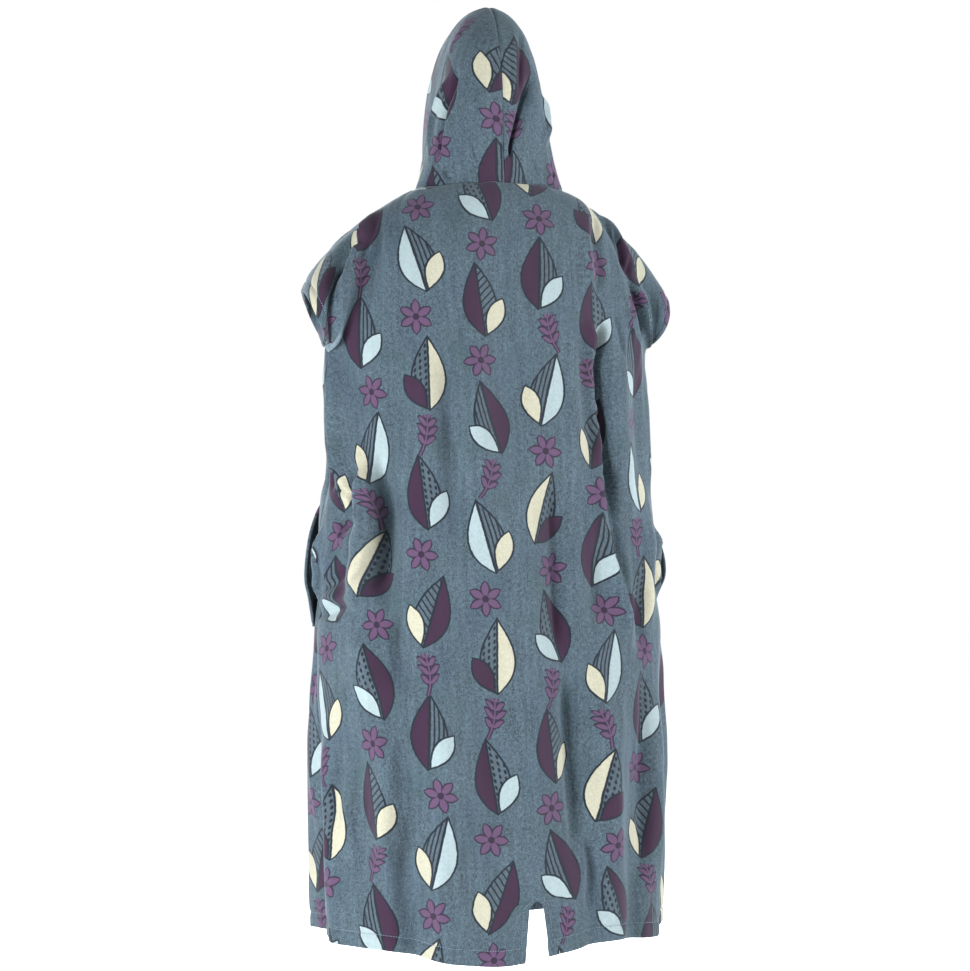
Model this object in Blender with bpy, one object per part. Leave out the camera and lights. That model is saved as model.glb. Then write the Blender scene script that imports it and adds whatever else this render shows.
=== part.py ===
"""A hooded bath poncho of cotton velour, open and empty, in the form that it has when it is worn.

Five cut pieces: a back and a front whose upper side edges stay open for the arms, a hood in two halves, and
a wide pocket across the front that is open at both sides. Each piece is one cloth wall, and pieces that are
sewn together lie a seam gap apart.

Frame: metres, +Z up, front towards -Y, the wearer's left towards +X, and the origin in the middle of the neck
opening, level with the neck seam at the back. Angles go round the body in degrees from the centre back,
positive to the wearer's left, so 90 is the left side seam and 180 is the centre front. "Down" is the way down
the cloth from the neck seam.
"""

from collections import namedtuple

import bmesh
import bpy
import numpy as np

# ---------------------------------------------------------------- cloth and seams
CLOTH = 0.0024  # thickness of the velour wall
SEAM_GAP = 0.0003  # left between two pieces that are sewn together
SIDE_REACH = 0.24  # metres of cloth near the side seam for one whole step across a panel

# ---------------------------------------------------------------- body below the arms
UNDERARM = -0.229  # height of the lower end of the arm openings
HEM = -1.100  # height that the panels are cut to, where the rows of points end
FULLNESS = 0.03  # how far the rings stand out between their back, front and sides

Section = namedtuple("Section", "height aside half_width back_depth front_depth")
BODY_SECTIONS = (
    Section(-0.229, 0.000, 0.242, 0.136, 0.134),
    Section(-0.330, 0.002, 0.244, 0.143, 0.140),
    Section(-0.420, 0.000, 0.246, 0.149, 0.146),
    Section(-0.500, -0.002, 0.253, 0.154, 0.152),
    Section(-0.570, -0.003, 0.251, 0.158, 0.158),
    Section(-0.640, -0.004, 0.260, 0.163, 0.164),
    Section(-0.760, -0.004, 0.260, 0.170, 0.170),
    Section(-0.900, -0.005, 0.260, 0.178, 0.176),
    Section(-1.010, -0.006, 0.259, 0.184, 0.180),
    Section(-1.110, -0.007, 0.256, 0.190, 0.185),
)

Hem = namedtuple("Hem", "angle height")
HEM_LINE = (
    Hem(-180, -1.096),
    Hem(-130, -1.092),
    Hem(-90, -1.086),
    Hem(-60, -1.091),
    Hem(-29, -1.081),
    Hem(-12, -1.089),
    Hem(8, -1.103),
    Hem(30, -1.094),
    Hem(44, -1.084),
    Hem(66, -1.082),
    Hem(90, -1.075),
    Hem(135, -1.088),
    Hem(180, -1.096),
)

# ---------------------------------------------------------------- neck, shoulders and arm openings
NECK_HALF_WIDTH = 0.112
NECK_MIDDLE = 0.012  # how far back the neck opening is widest
NECK_BACK = (0.086, 0.004)  # the centre back's place and height
NECK_FRONT = (-0.082, -0.070)  # the centre front's place and height
NECK_SIDE_HEIGHT = -0.003
NECK_SHARE = 0.39  # the part of a panel's top edge that is neckline

# The shoulder line is one cubic curve, from the neck to the upper end of the arm opening.
SHOULDER_LEFT = (
    (0.112, 0.012, -0.003),
    (0.158, 0.008, -0.024),
    (0.250, -0.008, -0.082),
    (0.276, -0.018, -0.153),
)
SHOULDER_RIGHT = (
    (-0.112, 0.012, -0.003),
    (-0.162, 0.008, -0.036),
    (-0.243, -0.008, -0.076),
    (-0.268, -0.018, -0.155),
)

# How far the edge of each arm opening swings out from its chord, for the back and for the front.
ARM_SWING = {
    ("left", "back"): (0.018, 0.085, 0.002),
    ("left", "front"): (-0.020, -0.090, -0.004),
    ("right", "back"): (0.006, 0.078, 0.004),
    ("right", "front"): (-0.002, -0.086, -0.004),
}
HALF_ROUND = 4.0 / 3.0  # a cubic curve's handles for half an ellipse, against its depth

# How the cloth leaves the neckline, the shoulder and the ring under the arms: lengths of the curves' handles.
LEAVE_NECK_BACK = (0.036, -0.040)
LEAVE_NECK_FRONT = (-0.030, -0.030)
LEAVE_SHOULDER = 0.092
RISE_TO_CHEST = 0.082
NECK_TURN = 45.0  # degrees that the cloth at the side of the neck turns from straight back or front
NECK_TURN_ENDS = 0.28  # how far past the neck, as a share across the panel, it turns back again
SIDEWAYS_DROP = 0.25  # how much steeper a handle gets as it turns sideways
TOP_FOLLOWS_ARM = 0.62  # how far across a panel its columns start to follow the arm opening's edge at the top
CHEST_FOLLOWS_ARM = 0.55  # and at the ring under the arms

# The top edge's corner at the neck softens down the cloth: each column takes a mean of its neighbours'.
SOFTEN_REACH = 0.15  # the share across a panel that the mean covers on each side
SOFTEN_DEPTH = 0.35  # the share of the way to the ring under the arms by which it covers all of that
SOFTEN_WEIGHTS = ((-1.0, 0.15), (-0.5, 0.22), (0.0, 0.26), (0.5, 0.22), (1.0, 0.15))
SOFTEN_ENDS = 0.78  # the share across a panel past which the edge keeps its own shape again

# ---------------------------------------------------------------- vent in the back hem
VENT_ANGLE = -3.6
VENT_HEIGHT = 0.086
VENT_TOP_HALF_WIDTH = 0.0082
VENT_SPREAD = 0.0087  # what each side adds to that down to the hem
VENT_ROUND = 0.15  # the share of its height over which its top is round
VENT_REACH = 15.0  # degrees over which the cloth beside the vent makes room
VENT_CLEAR = 0.012  # the least distance from the row at the vent's top to the row above it

# ---------------------------------------------------------------- folds
# A fold runs from one angle and depth to another, and is a ridge where its rise is above zero and a trough
# where it is below. Its spread is in degrees, from its middle to where it has nearly died away.
Fold = namedtuple("Fold", "angle_top angle_bottom down_top down_bottom rise spread")
FOLDS = (
    # back, wearer's left
    Fold(54, 63, 0.010, 0.105, 0.010, 7),
    Fold(66, 74, 0.030, 0.120, -0.008, 7),
    Fold(62, 76, 0.075, 0.260, 0.012, 7),
    Fold(48, 58, 0.060, 0.200, -0.009, 8),
    Fold(76, 74, 0.200, 0.480, 0.013, 8),
    Fold(90, 88, 0.245, 0.500, -0.011, 9),
    Fold(64, 67, 0.440, 0.520, -0.016, 7),
    Fold(54, 58, 0.460, 0.630, 0.024, 9),
    Fold(43, 47, 0.390, 0.640, -0.022, 8),
    Fold(64, 88, 0.600, 0.640, -0.012, 12),
    Fold(58, 58, 0.230, 0.420, -0.008, 8),
    Fold(82, 80, 0.520, 0.610, 0.010, 8),
    # back, middle
    Fold(31, 29, 0.220, 0.440, 0.010, 8),
    Fold(22, 20, 0.300, 0.560, -0.007, 7),
    Fold(15, 11, 0.160, 0.540, 0.009, 9),
    Fold(-11, -13, 0.380, 0.740, -0.016, 7),
    Fold(-14, -19, 0.660, 0.990, -0.016, 7),
    Fold(-19, -20, 0.130, 0.470, 0.010, 7),
    Fold(-3, -4, 0.640, 0.960, 0.007, 9),
    Fold(4, 2, 0.080, 0.400, -0.005, 9),
    # back, wearer's right
    Fold(-38, -52, 0.030, 0.150, -0.012, 7),
    Fold(-48, -58, 0.010, 0.130, 0.008, 7),
    Fold(-56, -80, 0.120, 0.250, 0.010, 7),
    Fold(-26, -34, 0.170, 0.480, -0.017, 8),
    Fold(-42, -44, 0.190, 0.500, 0.012, 9),
    Fold(-56, -60, 0.240, 0.470, -0.010, 8),
    Fold(-72, -74, 0.250, 0.480, 0.006, 8),
    Fold(-28, -29, 0.500, 0.660, -0.012, 7),
    Fold(-38, -39, 0.520, 0.700, 0.009, 8),
    Fold(-60, -52, 0.470, 0.660, 0.012, 9),
    Fold(-50, -46, 0.560, 0.700, -0.010, 8),
    # back, lower half
    Fold(55, 58, 0.640, 0.740, 0.010, 8),
    Fold(39, 41, 0.600, 0.740, -0.012, 8),
    Fold(46, 45, 0.730, 1.020, 0.012, 8),
    Fold(25, 26, 0.700, 1.100, 0.012, 9),
    Fold(36, 37, 0.880, 1.100, -0.014, 8),
    Fold(60, 56, 0.760, 1.060, -0.010, 8),
    Fold(76, 72, 0.740, 1.100, 0.012, 8),
    Fold(12, 12, 0.620, 0.900, -0.008, 8),
    Fold(-30, -30, 0.680, 1.020, 0.013, 8),
    Fold(-25, -23, 0.900, 1.100, -0.010, 7),
    Fold(-43, -41, 0.760, 1.100, -0.011, 8),
    Fold(-58, -56, 0.700, 1.060, 0.011, 9),
    Fold(-74, -70, 0.640, 1.100, -0.012, 9),
    # sides
    Fold(98, 96, 0.670, 0.960, 0.011, 8),
    Fold(90, 90, 0.740, 1.100, -0.011, 8),
    Fold(-90, -92, 0.250, 0.520, -0.011, 9),
    Fold(-89, -88, 0.680, 1.100, 0.012, 8),
    # front
    Fold(128, 122, 0.020, 0.240, -0.012, 8),
    Fold(-126, -121, 0.020, 0.230, -0.011, 8),
    Fold(116, 112, 0.060, 0.200, 0.010, 8),
    Fold(-115, -111, 0.060, 0.210, 0.010, 8),
    Fold(118, 124, 0.150, 0.420, 0.012, 9),
    Fold(-117, -122, 0.170, 0.420, 0.012, 9),
    Fold(138, 150, 0.100, 0.420, -0.011, 9),
    Fold(-141, -152, 0.130, 0.415, -0.012, 9),
    Fold(164, 167, 0.150, 0.420, 0.010, 9),
    Fold(-168, -171, 0.110, 0.420, 0.009, 9),
    Fold(178, 179, 0.200, 0.420, -0.008, 8),
    Fold(106, 104, 0.250, 0.460, -0.011, 8),
    Fold(-105, -104, 0.260, 0.460, -0.012, 8),
    Fold(120, 125, 0.665, 1.100, -0.014, 9),
    Fold(137, 141, 0.690, 1.100, 0.013, 9),
    Fold(158, 157, 0.670, 1.100, -0.014, 9),
    Fold(176, 175, 0.700, 1.100, 0.013, 10),
    Fold(-162, -164, 0.665, 1.100, -0.014, 9),
    Fold(-143, -145, 0.700, 1.100, 0.014, 9),
    Fold(-125, -122, 0.665, 1.100, -0.014, 9),
    Fold(-106, -104, 0.690, 1.100, 0.012, 8),
    Fold(106, 107, 0.700, 1.100, 0.012, 8),
)
FOLD_TAPER = 0.34  # the part of a fold's length over which each end dies away

# ---------------------------------------------------------------- pocket
# The pocket's sides are curved mouths for the hands: they run out from its narrow top to its wide foot.
Mouth = namedtuple("Mouth", "down half_angle_left half_angle_right out_left out_right")
POCKET_SIDES = (
    Mouth(0.440, 56.0, 57.0, 0.000, 0.000),
    Mouth(0.462, 67.0, 69.0, 0.005, 0.006),
    Mouth(0.490, 75.0, 78.0, 0.013, 0.018),
    Mouth(0.520, 79.0, 82.0, 0.017, 0.028),
    Mouth(0.555, 80.0, 84.0, 0.021, 0.036),
    Mouth(0.585, 81.0, 84.0, 0.016, 0.028),
    Mouth(0.612, 82.0, 84.0, 0.003, 0.004),
    Mouth(0.650, 82.0, 84.0, 0.000, 0.000),
)
POCKET_STANDS_OUT = 0.007  # in the middle, between the hands' places
POCKET_HANDS_OUT = 0.015  # how much more it stands out at each hand's place
POCKET_HANDS_AT = 0.60  # the share of the way from its middle to a mouth where a hand would lie
POCKET_HANDS_SPREAD = 0.26  # the share of that way over which the cloth rises to it
POCKET_FLATNESS = 0.8  # the power that keeps the pocket near its full depth close to its seams
MOUTH_POWER = 3  # how late, on the way to a mouth, the cloth starts to stand out as the mouth does
POCKET_SEAM_GAP = 0.0007  # a little more than the others, for a flat patch on a round panel

# ---------------------------------------------------------------- hood
# Each half is a row of ribs. A rib leaves the centre seam level, goes out and down, and ends at the neck.
# Both halves lean a little aside together.
Rib = namedtuple("Rib", "seam_y seam_z aside neck_angle out down lower_in lower_back lower_up")
HOOD_RIBS = (
    Rib(0.086, 0.004, 0.000, 0, 0.000, 0.000, 0.000, 0.000, 0.000),
    Rib(0.091, 0.066, 0.003, 30, 0.038, 0.000, 0.004, 0.006, 0.026),
    Rib(0.098, 0.138, 0.006, 52, 0.063, 0.002, 0.016, 0.012, 0.056),
    Rib(0.082, 0.210, 0.007, 72, 0.080, 0.004, 0.032, 0.012, 0.084),
    Rib(0.030, 0.264, 0.003, 92, 0.090, 0.012, 0.046, 0.004, 0.102),
    Rib(-0.038, 0.260, 0.003, 116, 0.088, 0.012, 0.030, -0.012, 0.120),
    Rib(-0.096, 0.224, 0.003, 180, 0.082, 0.012, -0.082, -0.034, 0.040),
)

# Creases in each half, in shares of the way from nape to face edge and from centre seam to neck seam.
Crease = namedtuple("Crease", "side share_top way_top share_bottom way_bottom rise spread")
HOOD_CREASES = (
    Crease("left", 0.66, 0.42, 0.16, 0.46, -0.009, 0.020),
    Crease("left", 0.52, 0.16, 0.20, 0.14, 0.005, 0.024),
    Crease("left", 0.80, 0.62, 0.42, 0.86, -0.007, 0.018),
    Crease("right", 0.60, 0.26, 0.14, 0.36, -0.010, 0.020),
    Crease("right", 0.74, 0.52, 0.34, 0.62, 0.006, 0.022),
    Crease("right", 0.82, 0.70, 0.48, 0.88, -0.007, 0.018),
    Crease("right", 0.58, 0.80, 0.74, 0.80, -0.007, 0.050),
)
HOOD_REACH = (0.40, 0.26)  # metres of cloth from nape to face edge, and from centre seam to neck seam
HOOD_EDGE = 0.12  # the share of each way over which a crease dies away before a seam or the face edge

# ---------------------------------------------------------------- fineness
BACK_COLUMNS = (22, 22)  # to the wearer's right and left of the vent
FRONT_COLUMNS = 36
SHOULDER_ROWS = 8
SHOULDER_CROWDING = 1.35  # the power that draws those rows up to where the cloth turns over the shoulder
BACK_ROWS = 24
FRONT_ROWS = 20
VENT_ROWS = 5
VENT_CROWDING = 1.8  # the power that draws the vent's rows up to its round top
HOOD_RIB_COUNT = 15
HOOD_ROWS = 12
POCKET_COLUMNS = 32
POCKET_ROWS = 10


# ================================================================ curves
def smooth(t):
    """0 to 1 as t goes from 0 to 1, level at both ends."""
    t = np.clip(t, 0.0, 1.0)
    return t * t * (3.0 - 2.0 * t)


def cubic(p0, p1, p2, p3, t):
    """The point at t of a cubic curve with two handles."""
    s = 1.0 - t
    return s**3 * p0 + 3 * s * s * t * p1 + 3 * s * t * t * p2 + t**3 * p3


def through(places, values, at):
    """A smooth curve through values at places, read at the places in at."""
    places = np.asarray(places, float)
    values = np.asarray(values, float)
    steps = np.diff(values) / np.diff(places)
    slopes = np.concatenate([steps[:1], (steps[1:] + steps[:-1]) / 2, steps[-1:]])
    at = np.asarray(at, float)
    i = np.clip(np.searchsorted(places, at) - 1, 0, len(places) - 2)
    width = places[i + 1] - places[i]
    t = np.clip((at - places[i]) / width, 0.0, 1.0)
    return (
        (2 * t**3 - 3 * t**2 + 1) * values[i]
        + (t**3 - 2 * t**2 + t) * width * slopes[i]
        + (3 * t**2 - 2 * t**3) * values[i + 1]
        + (t**3 - t**2) * width * slopes[i + 1]
    )


def column_of(table, name):
    """One named column of a table, as a list."""
    return [getattr(row, name) for row in table]


def unit(vectors):
    """The vectors at length one."""
    return vectors / np.maximum(np.linalg.norm(vectors, axis=-1, keepdims=True), 1e-12)


def stacked(x, y, z):
    """Points from their three coordinates, which may be arrays or single numbers."""
    x, y, z = np.broadcast_arrays(x, y, z)
    return np.stack([x, y, z], axis=-1)


# ================================================================ body surface
def neck_point(angle):
    """The neck seam at an angle round it, 0 at the centre back and 180 at the centre front."""
    turn = np.radians(angle)
    back = np.cos(turn) >= 0
    place = np.where(back, NECK_BACK[0], NECK_FRONT[0])
    height = np.where(back, NECK_BACK[1], NECK_FRONT[1])
    share = np.abs(np.cos(turn))
    y = NECK_MIDDLE + (place - NECK_MIDDLE) * share
    z = NECK_SIDE_HEIGHT + (height - NECK_SIDE_HEIGHT) * share**1.5
    return stacked(NECK_HALF_WIDTH * np.sin(turn), y, z)


def top_edge(across, front):
    """A panel's top edge: neckline, then shoulder line. across goes from -1 at the right to 1 at the left."""
    size = np.minimum(np.abs(across), 1.0)
    neck_turn = 90.0 * np.sign(across) * np.minimum(size / NECK_SHARE, 1.0)
    neck = neck_point(180.0 - neck_turn if front else neck_turn)
    t = np.clip((size - NECK_SHARE) / (1.0 - NECK_SHARE), 0.0, 1.0)[..., None]
    left = cubic(*[np.array(p) for p in SHOULDER_LEFT], t)
    right = cubic(*[np.array(p) for p in SHOULDER_RIGHT], t)
    shoulder = np.where((across >= 0)[..., None], left, right)
    return np.where((size <= NECK_SHARE)[..., None], neck, shoulder)


def ring(angle, height):
    """The body's round below the arms, without its folds."""
    turn = np.radians(angle)
    heights = column_of(BODY_SECTIONS, "height")[::-1]
    half_width = through(heights, column_of(BODY_SECTIONS, "half_width")[::-1], height)
    back = through(heights, column_of(BODY_SECTIONS, "back_depth")[::-1], height)
    front = through(heights, column_of(BODY_SECTIONS, "front_depth")[::-1], height)
    aside = through(heights, column_of(BODY_SECTIONS, "aside")[::-1], height)
    full = 1.0 + FULLNESS * np.sin(2.0 * turn) ** 2
    depth = np.where(np.cos(turn) >= 0, back, front)
    return stacked(aside + half_width * np.sin(turn) * full, depth * np.cos(turn) * full, height)


def arm_swing(across, front):
    """The handle that gives the edge of the arm opening on this side its half round."""
    panel = "front" if front else "back"
    left = np.array(ARM_SWING["left", panel])
    right = np.array(ARM_SWING["right", panel]) * (-1, 1, 1)
    return np.where((across >= 0)[..., None], left, right) * HALF_ROUND


def leaving(across, front):
    """The handle with which each column of a panel leaves the top edge."""
    size = np.abs(across)
    way = -1.0 if front else 1.0
    middle = np.array(LEAVE_NECK_FRONT if front else LEAVE_NECK_BACK)
    past_neck = smooth(size / NECK_SHARE)
    turn = np.radians(NECK_TURN) * (past_neck - smooth((size - NECK_SHARE) / NECK_TURN_ENDS))
    length = np.hypot(*middle) + (LEAVE_SHOULDER - np.hypot(*middle)) * past_neck
    slope = middle[1] / np.hypot(*middle) * (1.0 - past_neck)
    level = np.sqrt(1.0 - slope**2)
    x = np.sign(across) * np.sin(turn) * level * length
    y = way * np.cos(turn) * level * length
    z = slope * length - SIDEWAYS_DROP * np.abs(x)
    near_edge = smooth((size - TOP_FOLLOWS_ARM) / (1.0 - TOP_FOLLOWS_ARM))[..., None]
    return stacked(x, y, z) * (1.0 - near_edge) + arm_swing(across, front) * near_edge


def arriving(across, front):
    """The handle with which each column reaches the ring under the arms."""
    size = np.abs(across)
    near_edge = smooth((size - CHEST_FOLLOWS_ARM) / (1.0 - CHEST_FOLLOWS_ARM))[..., None] ** 1.5
    return stacked(0.0 * size, 0.0, RISE_TO_CHEST) * (1.0 - near_edge) + arm_swing(across, front) * near_edge


def hem_height(angle):
    """The height of the hem at an angle round the body."""
    turned = (np.asarray(angle, float) + 180.0) % 360.0 - 180.0
    return through(column_of(HEM_LINE, "angle"), column_of(HEM_LINE, "height"), turned)


def fold_rise(angle, down):
    """How far the folds raise the cloth, at an angle round the body and a distance down it."""
    rise = np.zeros(np.broadcast(angle, down).shape)
    for fold in FOLDS:
        t = (down - fold.down_top) / (fold.down_bottom - fold.down_top)
        middle = fold.angle_top + (fold.angle_bottom - fold.angle_top) * np.clip(t, 0.0, 1.0)
        away = (angle - middle + 180.0) % 360.0 - 180.0
        open_top = smooth(t / FOLD_TAPER)
        open_bottom = 1.0 if fold.down_bottom >= -HEM else smooth((1.0 - t) / FOLD_TAPER)
        rise = rise + fold.rise * open_top * open_bottom * np.exp(-((1.5 * away / fold.spread) ** 2))
    return rise


def base_point(across, down, front):
    """The cloth's outer face without folds, at a place across a panel and a distance down it."""
    angle = 180.0 - 90.0 * across if front else 90.0 * across
    drop = -UNDERARM
    t = np.clip(down / drop, 0.0, 1.0)[..., None]
    reach = SOFTEN_REACH * smooth(down / drop / SOFTEN_DEPTH)
    soft = sum(weight * top_edge(across + step * reach, front) for step, weight in SOFTEN_WEIGHTS)
    kept = smooth((np.abs(across) - SOFTEN_ENDS) / (1.0 - SOFTEN_ENDS))[..., None]
    top = soft * (1.0 - kept) + top_edge(across, front) * kept
    waist = ring(angle, np.full(np.shape(angle), UNDERARM))
    upper = cubic(top, top + leaving(across, front), waist + arriving(across, front), waist, t)
    lower_share = np.clip((down - drop) / (-HEM - drop), 0.0, 1.05)
    height = UNDERARM + (hem_height(angle) - UNDERARM) * lower_share
    lower = ring(angle, height)
    return np.where((down <= drop)[..., None], upper, lower)


def base_normal(across, down, front):
    """The outward direction of the cloth without folds."""
    step = 0.0015
    side = np.clip(across, -1.0 + step, 1.0 - step)
    depth = np.maximum(down, step)
    over = base_point(side + step, depth, front) - base_point(side - step, depth, front)
    along = base_point(side, depth + step, front) - base_point(side, depth - step, front)
    return unit(np.cross(along, over) * (1.0 if front else -1.0))


def body_point(across, down, front):
    """The cloth's outer face with its folds."""
    angle = 180.0 - 90.0 * across if front else 90.0 * across
    rise = fold_rise(angle, down)[..., None]
    return base_point(across, down, front) + base_normal(across, down, front) * rise


def body_normal(across, down, front):
    """The outward direction of the folded cloth."""
    step = 0.004
    side = np.clip(across, -1.0 + step, 1.0 - step)
    depth = np.maximum(down, step)
    over = body_point(side + step, depth, front) - body_point(side - step, depth, front)
    along = body_point(side, depth + step, front) - body_point(side, depth - step, front)
    return unit(np.cross(along, over) * (1.0 if front else -1.0))


# ================================================================ walls
def grid_numbers(shape, first=0):
    """The numbers of a grid's points, row by row."""
    return first + np.arange(shape[0] * shape[1]).reshape(shape[:2])


def grid_faces(numbers):
    """The four-cornered faces between the rows and columns of a grid of point numbers."""
    corners = np.stack([numbers[:-1, :-1], numbers[:-1, 1:], numbers[1:, 1:], numbers[1:, :-1]], axis=-1)
    return corners.reshape(-1, 4).tolist()


def cloth_wall(name, outer, inner, faces, material):
    """A closed wall between an outer and an inner sheet of the same faces, rimmed along every open edge."""
    count = len(outer)
    mesh = bmesh.new()
    points = [mesh.verts.new(p) for p in np.concatenate([outer, inner])]
    uses = {}
    for face in faces:
        corners = [face[i] for i in range(len(face)) if face[i] != face[i - 1]]
        mesh.faces.new([points[i] for i in corners])
        mesh.faces.new([points[i + count] for i in reversed(corners)])
        for a, b in zip(corners, corners[1:] + corners[:1]):
            uses.setdefault(frozenset((a, b)), []).append((a, b))
    for edges in uses.values():
        if len(edges) == 1:
            a, b = edges[0]
            mesh.faces.new([points[b], points[a], points[a + count], points[b + count]])
    unused = [vert for vert in mesh.verts if not vert.link_faces]
    bmesh.ops.delete(mesh, geom=unused, context="VERTS")
    bmesh.ops.recalc_face_normals(mesh, faces=mesh.faces)
    data = bpy.data.meshes.new(name)
    mesh.to_mesh(data)
    mesh.free()
    data.materials.append(material)
    data.shade_smooth()
    data.set_sharp_from_angle(angle=np.radians(50.0))
    return bpy.data.objects.new(name, data)


# ================================================================ pieces
def rows_down(lower_rows):
    """The distances down a panel of its rows, closest where the cloth turns over the shoulder."""
    shoulder = -UNDERARM * np.linspace(0.0, 1.0, SHOULDER_ROWS + 1) ** SHOULDER_CROWDING
    shoulder[0] = SEAM_GAP / 2
    lower = np.linspace(-UNDERARM, -HEM, lower_rows + 1)[1:]
    return np.concatenate([shoulder, lower])


def side_limit(down):
    """How far across a panel goes at a distance down it: half a gap short of the side seam under the arms."""
    return np.where(down > -UNDERARM - 1e-6, 1.0 - SEAM_GAP / 2 / SIDE_REACH, 1.0)


def vent_room(across, down):
    """How far the back moves aside at each place to open its vent, as a share of the way across the panel."""
    share = np.clip((down + HEM + VENT_HEIGHT) / VENT_HEIGHT, 0.0, 1.0)
    half_width = VENT_TOP_HALF_WIDTH * np.sqrt(np.minimum(share / VENT_ROUND, 1.0)) + VENT_SPREAD * share
    quarter_round = np.radians(90.0) * ring(90.0, -down)[..., 0]
    away = np.abs(across * 90.0 - VENT_ANGLE) / VENT_REACH
    return half_width / quarter_round * (1.0 - smooth(away))


def panel_wall(name, across, down, front, faces, material):
    """One body panel's wall, from its points' places across it and down it."""
    outer = body_point(across, down, front).reshape(-1, 3)
    inner = outer - body_normal(across, down, front).reshape(-1, 3) * CLOTH
    return cloth_wall(name, outer, inner, faces, material)


def back_panel(material):
    """The back: the line of points over its vent is doubled, and parts below the vent's top."""
    vent_top = -HEM - VENT_HEIGHT
    above = rows_down(BACK_ROWS)
    above = above[above < vent_top - VENT_CLEAR]
    beside = vent_top + VENT_HEIGHT * np.linspace(0.0, 1.0, VENT_ROWS + 1) ** VENT_CROWDING
    middle = VENT_ANGLE / 90.0
    right = np.linspace(-1.0, middle, BACK_COLUMNS[0] + 1)
    left = np.linspace(middle, 1.0, BACK_COLUMNS[1] + 1)
    across = np.concatenate([right, left])[None, :]
    side = np.repeat((-1.0, 1.0), (len(right), len(left)))[None, :]
    down = np.concatenate([above, beside])[:, None] + 0.0 * across
    across = np.clip(across + side * vent_room(across, down), -1.0, 1.0) * side_limit(down)
    numbers = grid_numbers(down.shape)
    closed = slice(0, len(above) + 1)
    numbers[closed, len(right)] = numbers[closed, len(right) - 1]
    faces = grid_faces(numbers[:, : len(right)]) + grid_faces(numbers[:, len(right) :])
    return panel_wall("body_back", across, down, False, faces, material)


def front_panel(material):
    """The front, one grid from side to side."""
    across = np.linspace(-1.0, 1.0, FRONT_COLUMNS + 1)[None, :]
    down = rows_down(FRONT_ROWS)[:, None] + 0.0 * across
    faces = grid_faces(grid_numbers(down.shape))
    return panel_wall("body_front", across * side_limit(down), down, True, faces, material)


def pocket(material):
    """The pocket lies on the front: its points are the front's, moved out, and its mouths stand open."""
    u = np.linspace(-1.0, 1.0, POCKET_COLUMNS + 1)[None, :]
    downs = column_of(POCKET_SIDES, "down")
    v = np.linspace(0.0, 1.0, POCKET_ROWS + 1)[:, None]
    down = downs[0] + (downs[-1] - downs[0]) * v + 0.0 * u
    side = {
        name: np.where(
            u > 0,
            through(downs, column_of(POCKET_SIDES, name + "_left"), down),
            through(downs, column_of(POCKET_SIDES, name + "_right"), down),
        )
        for name in ("half_angle", "out")
    }
    across = u * side["half_angle"] / 90.0
    near_mouth = np.abs(u) ** MOUTH_POWER
    hand = np.exp(-(((np.abs(u) - POCKET_HANDS_AT) / POCKET_HANDS_SPREAD) ** 2))
    full = (POCKET_STANDS_OUT + POCKET_HANDS_OUT * hand) * np.sin(np.pi * v) ** POCKET_FLATNESS
    out = full * (1.0 - near_mouth) + side["out"] * near_mouth
    outward = base_normal(across, down, True)
    inner = body_point(across, down, True) + outward * (POCKET_SEAM_GAP + out)[..., None]
    outer = inner + outward * CLOTH
    faces = grid_faces(grid_numbers(across.shape))
    return cloth_wall("pocket", outer.reshape(-1, 3), inner.reshape(-1, 3), faces, material)


def hood_rib(name, share):
    """One size of the hood's ribs, read anywhere from the nape at 0 to the face edge at 1."""
    return through(np.linspace(0.0, 1.0, len(HOOD_RIBS)), column_of(HOOD_RIBS, name), share)


def hood_base(share, way):
    """One half of the hood: share goes from nape to face edge, and way from centre seam to neck seam."""
    rib = {name: hood_rib(name, share) for name in Rib._fields}
    seam = stacked(0.0 * share, rib["seam_y"], rib["seam_z"])
    neck = neck_point(np.clip(rib["neck_angle"], 0.0, 180.0))
    out = seam + stacked(rib["out"], 0.0, -rib["down"])
    lower = neck + stacked(-rib["lower_in"], rib["lower_back"], rib["lower_up"])
    return cubic(seam, out, lower, neck, way[..., None])


def outward_of(surface, share, way, step):
    """The outward direction of a hood surface."""
    middle = np.clip(share, 0.02, 1.0 - step)
    edge = np.clip(way, step, 1.0 - step)
    over = surface(middle + step, edge) - surface(middle - step, edge)
    along = surface(middle, edge + step) - surface(middle, edge - step)
    return unit(np.cross(along, over))


def hood_point(side, share, way):
    """One half of the hood with its creases, which die away towards every edge."""
    rise = np.zeros(share.shape)
    for crease in HOOD_CREASES:
        if crease.side != side:
            continue
        top = np.array((crease.share_top, crease.way_top)) * HOOD_REACH
        bottom = np.array((crease.share_bottom, crease.way_bottom)) * HOOD_REACH
        place = np.stack([share, way], axis=-1) * HOOD_REACH - top
        run = bottom - top
        t = (place @ run) / (run @ run)
        away = np.linalg.norm(place - np.clip(t, 0.0, 1.0)[..., None] * run, axis=-1)
        rise = rise + crease.rise * np.exp(-((1.5 * away / crease.spread) ** 2))
    for place in (way, 1.0 - way, share, 1.0 - share):
        rise = rise * smooth(place / HOOD_EDGE)
    return hood_base(share, way) + outward_of(hood_base, share, way, 0.004) * rise[..., None]


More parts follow.
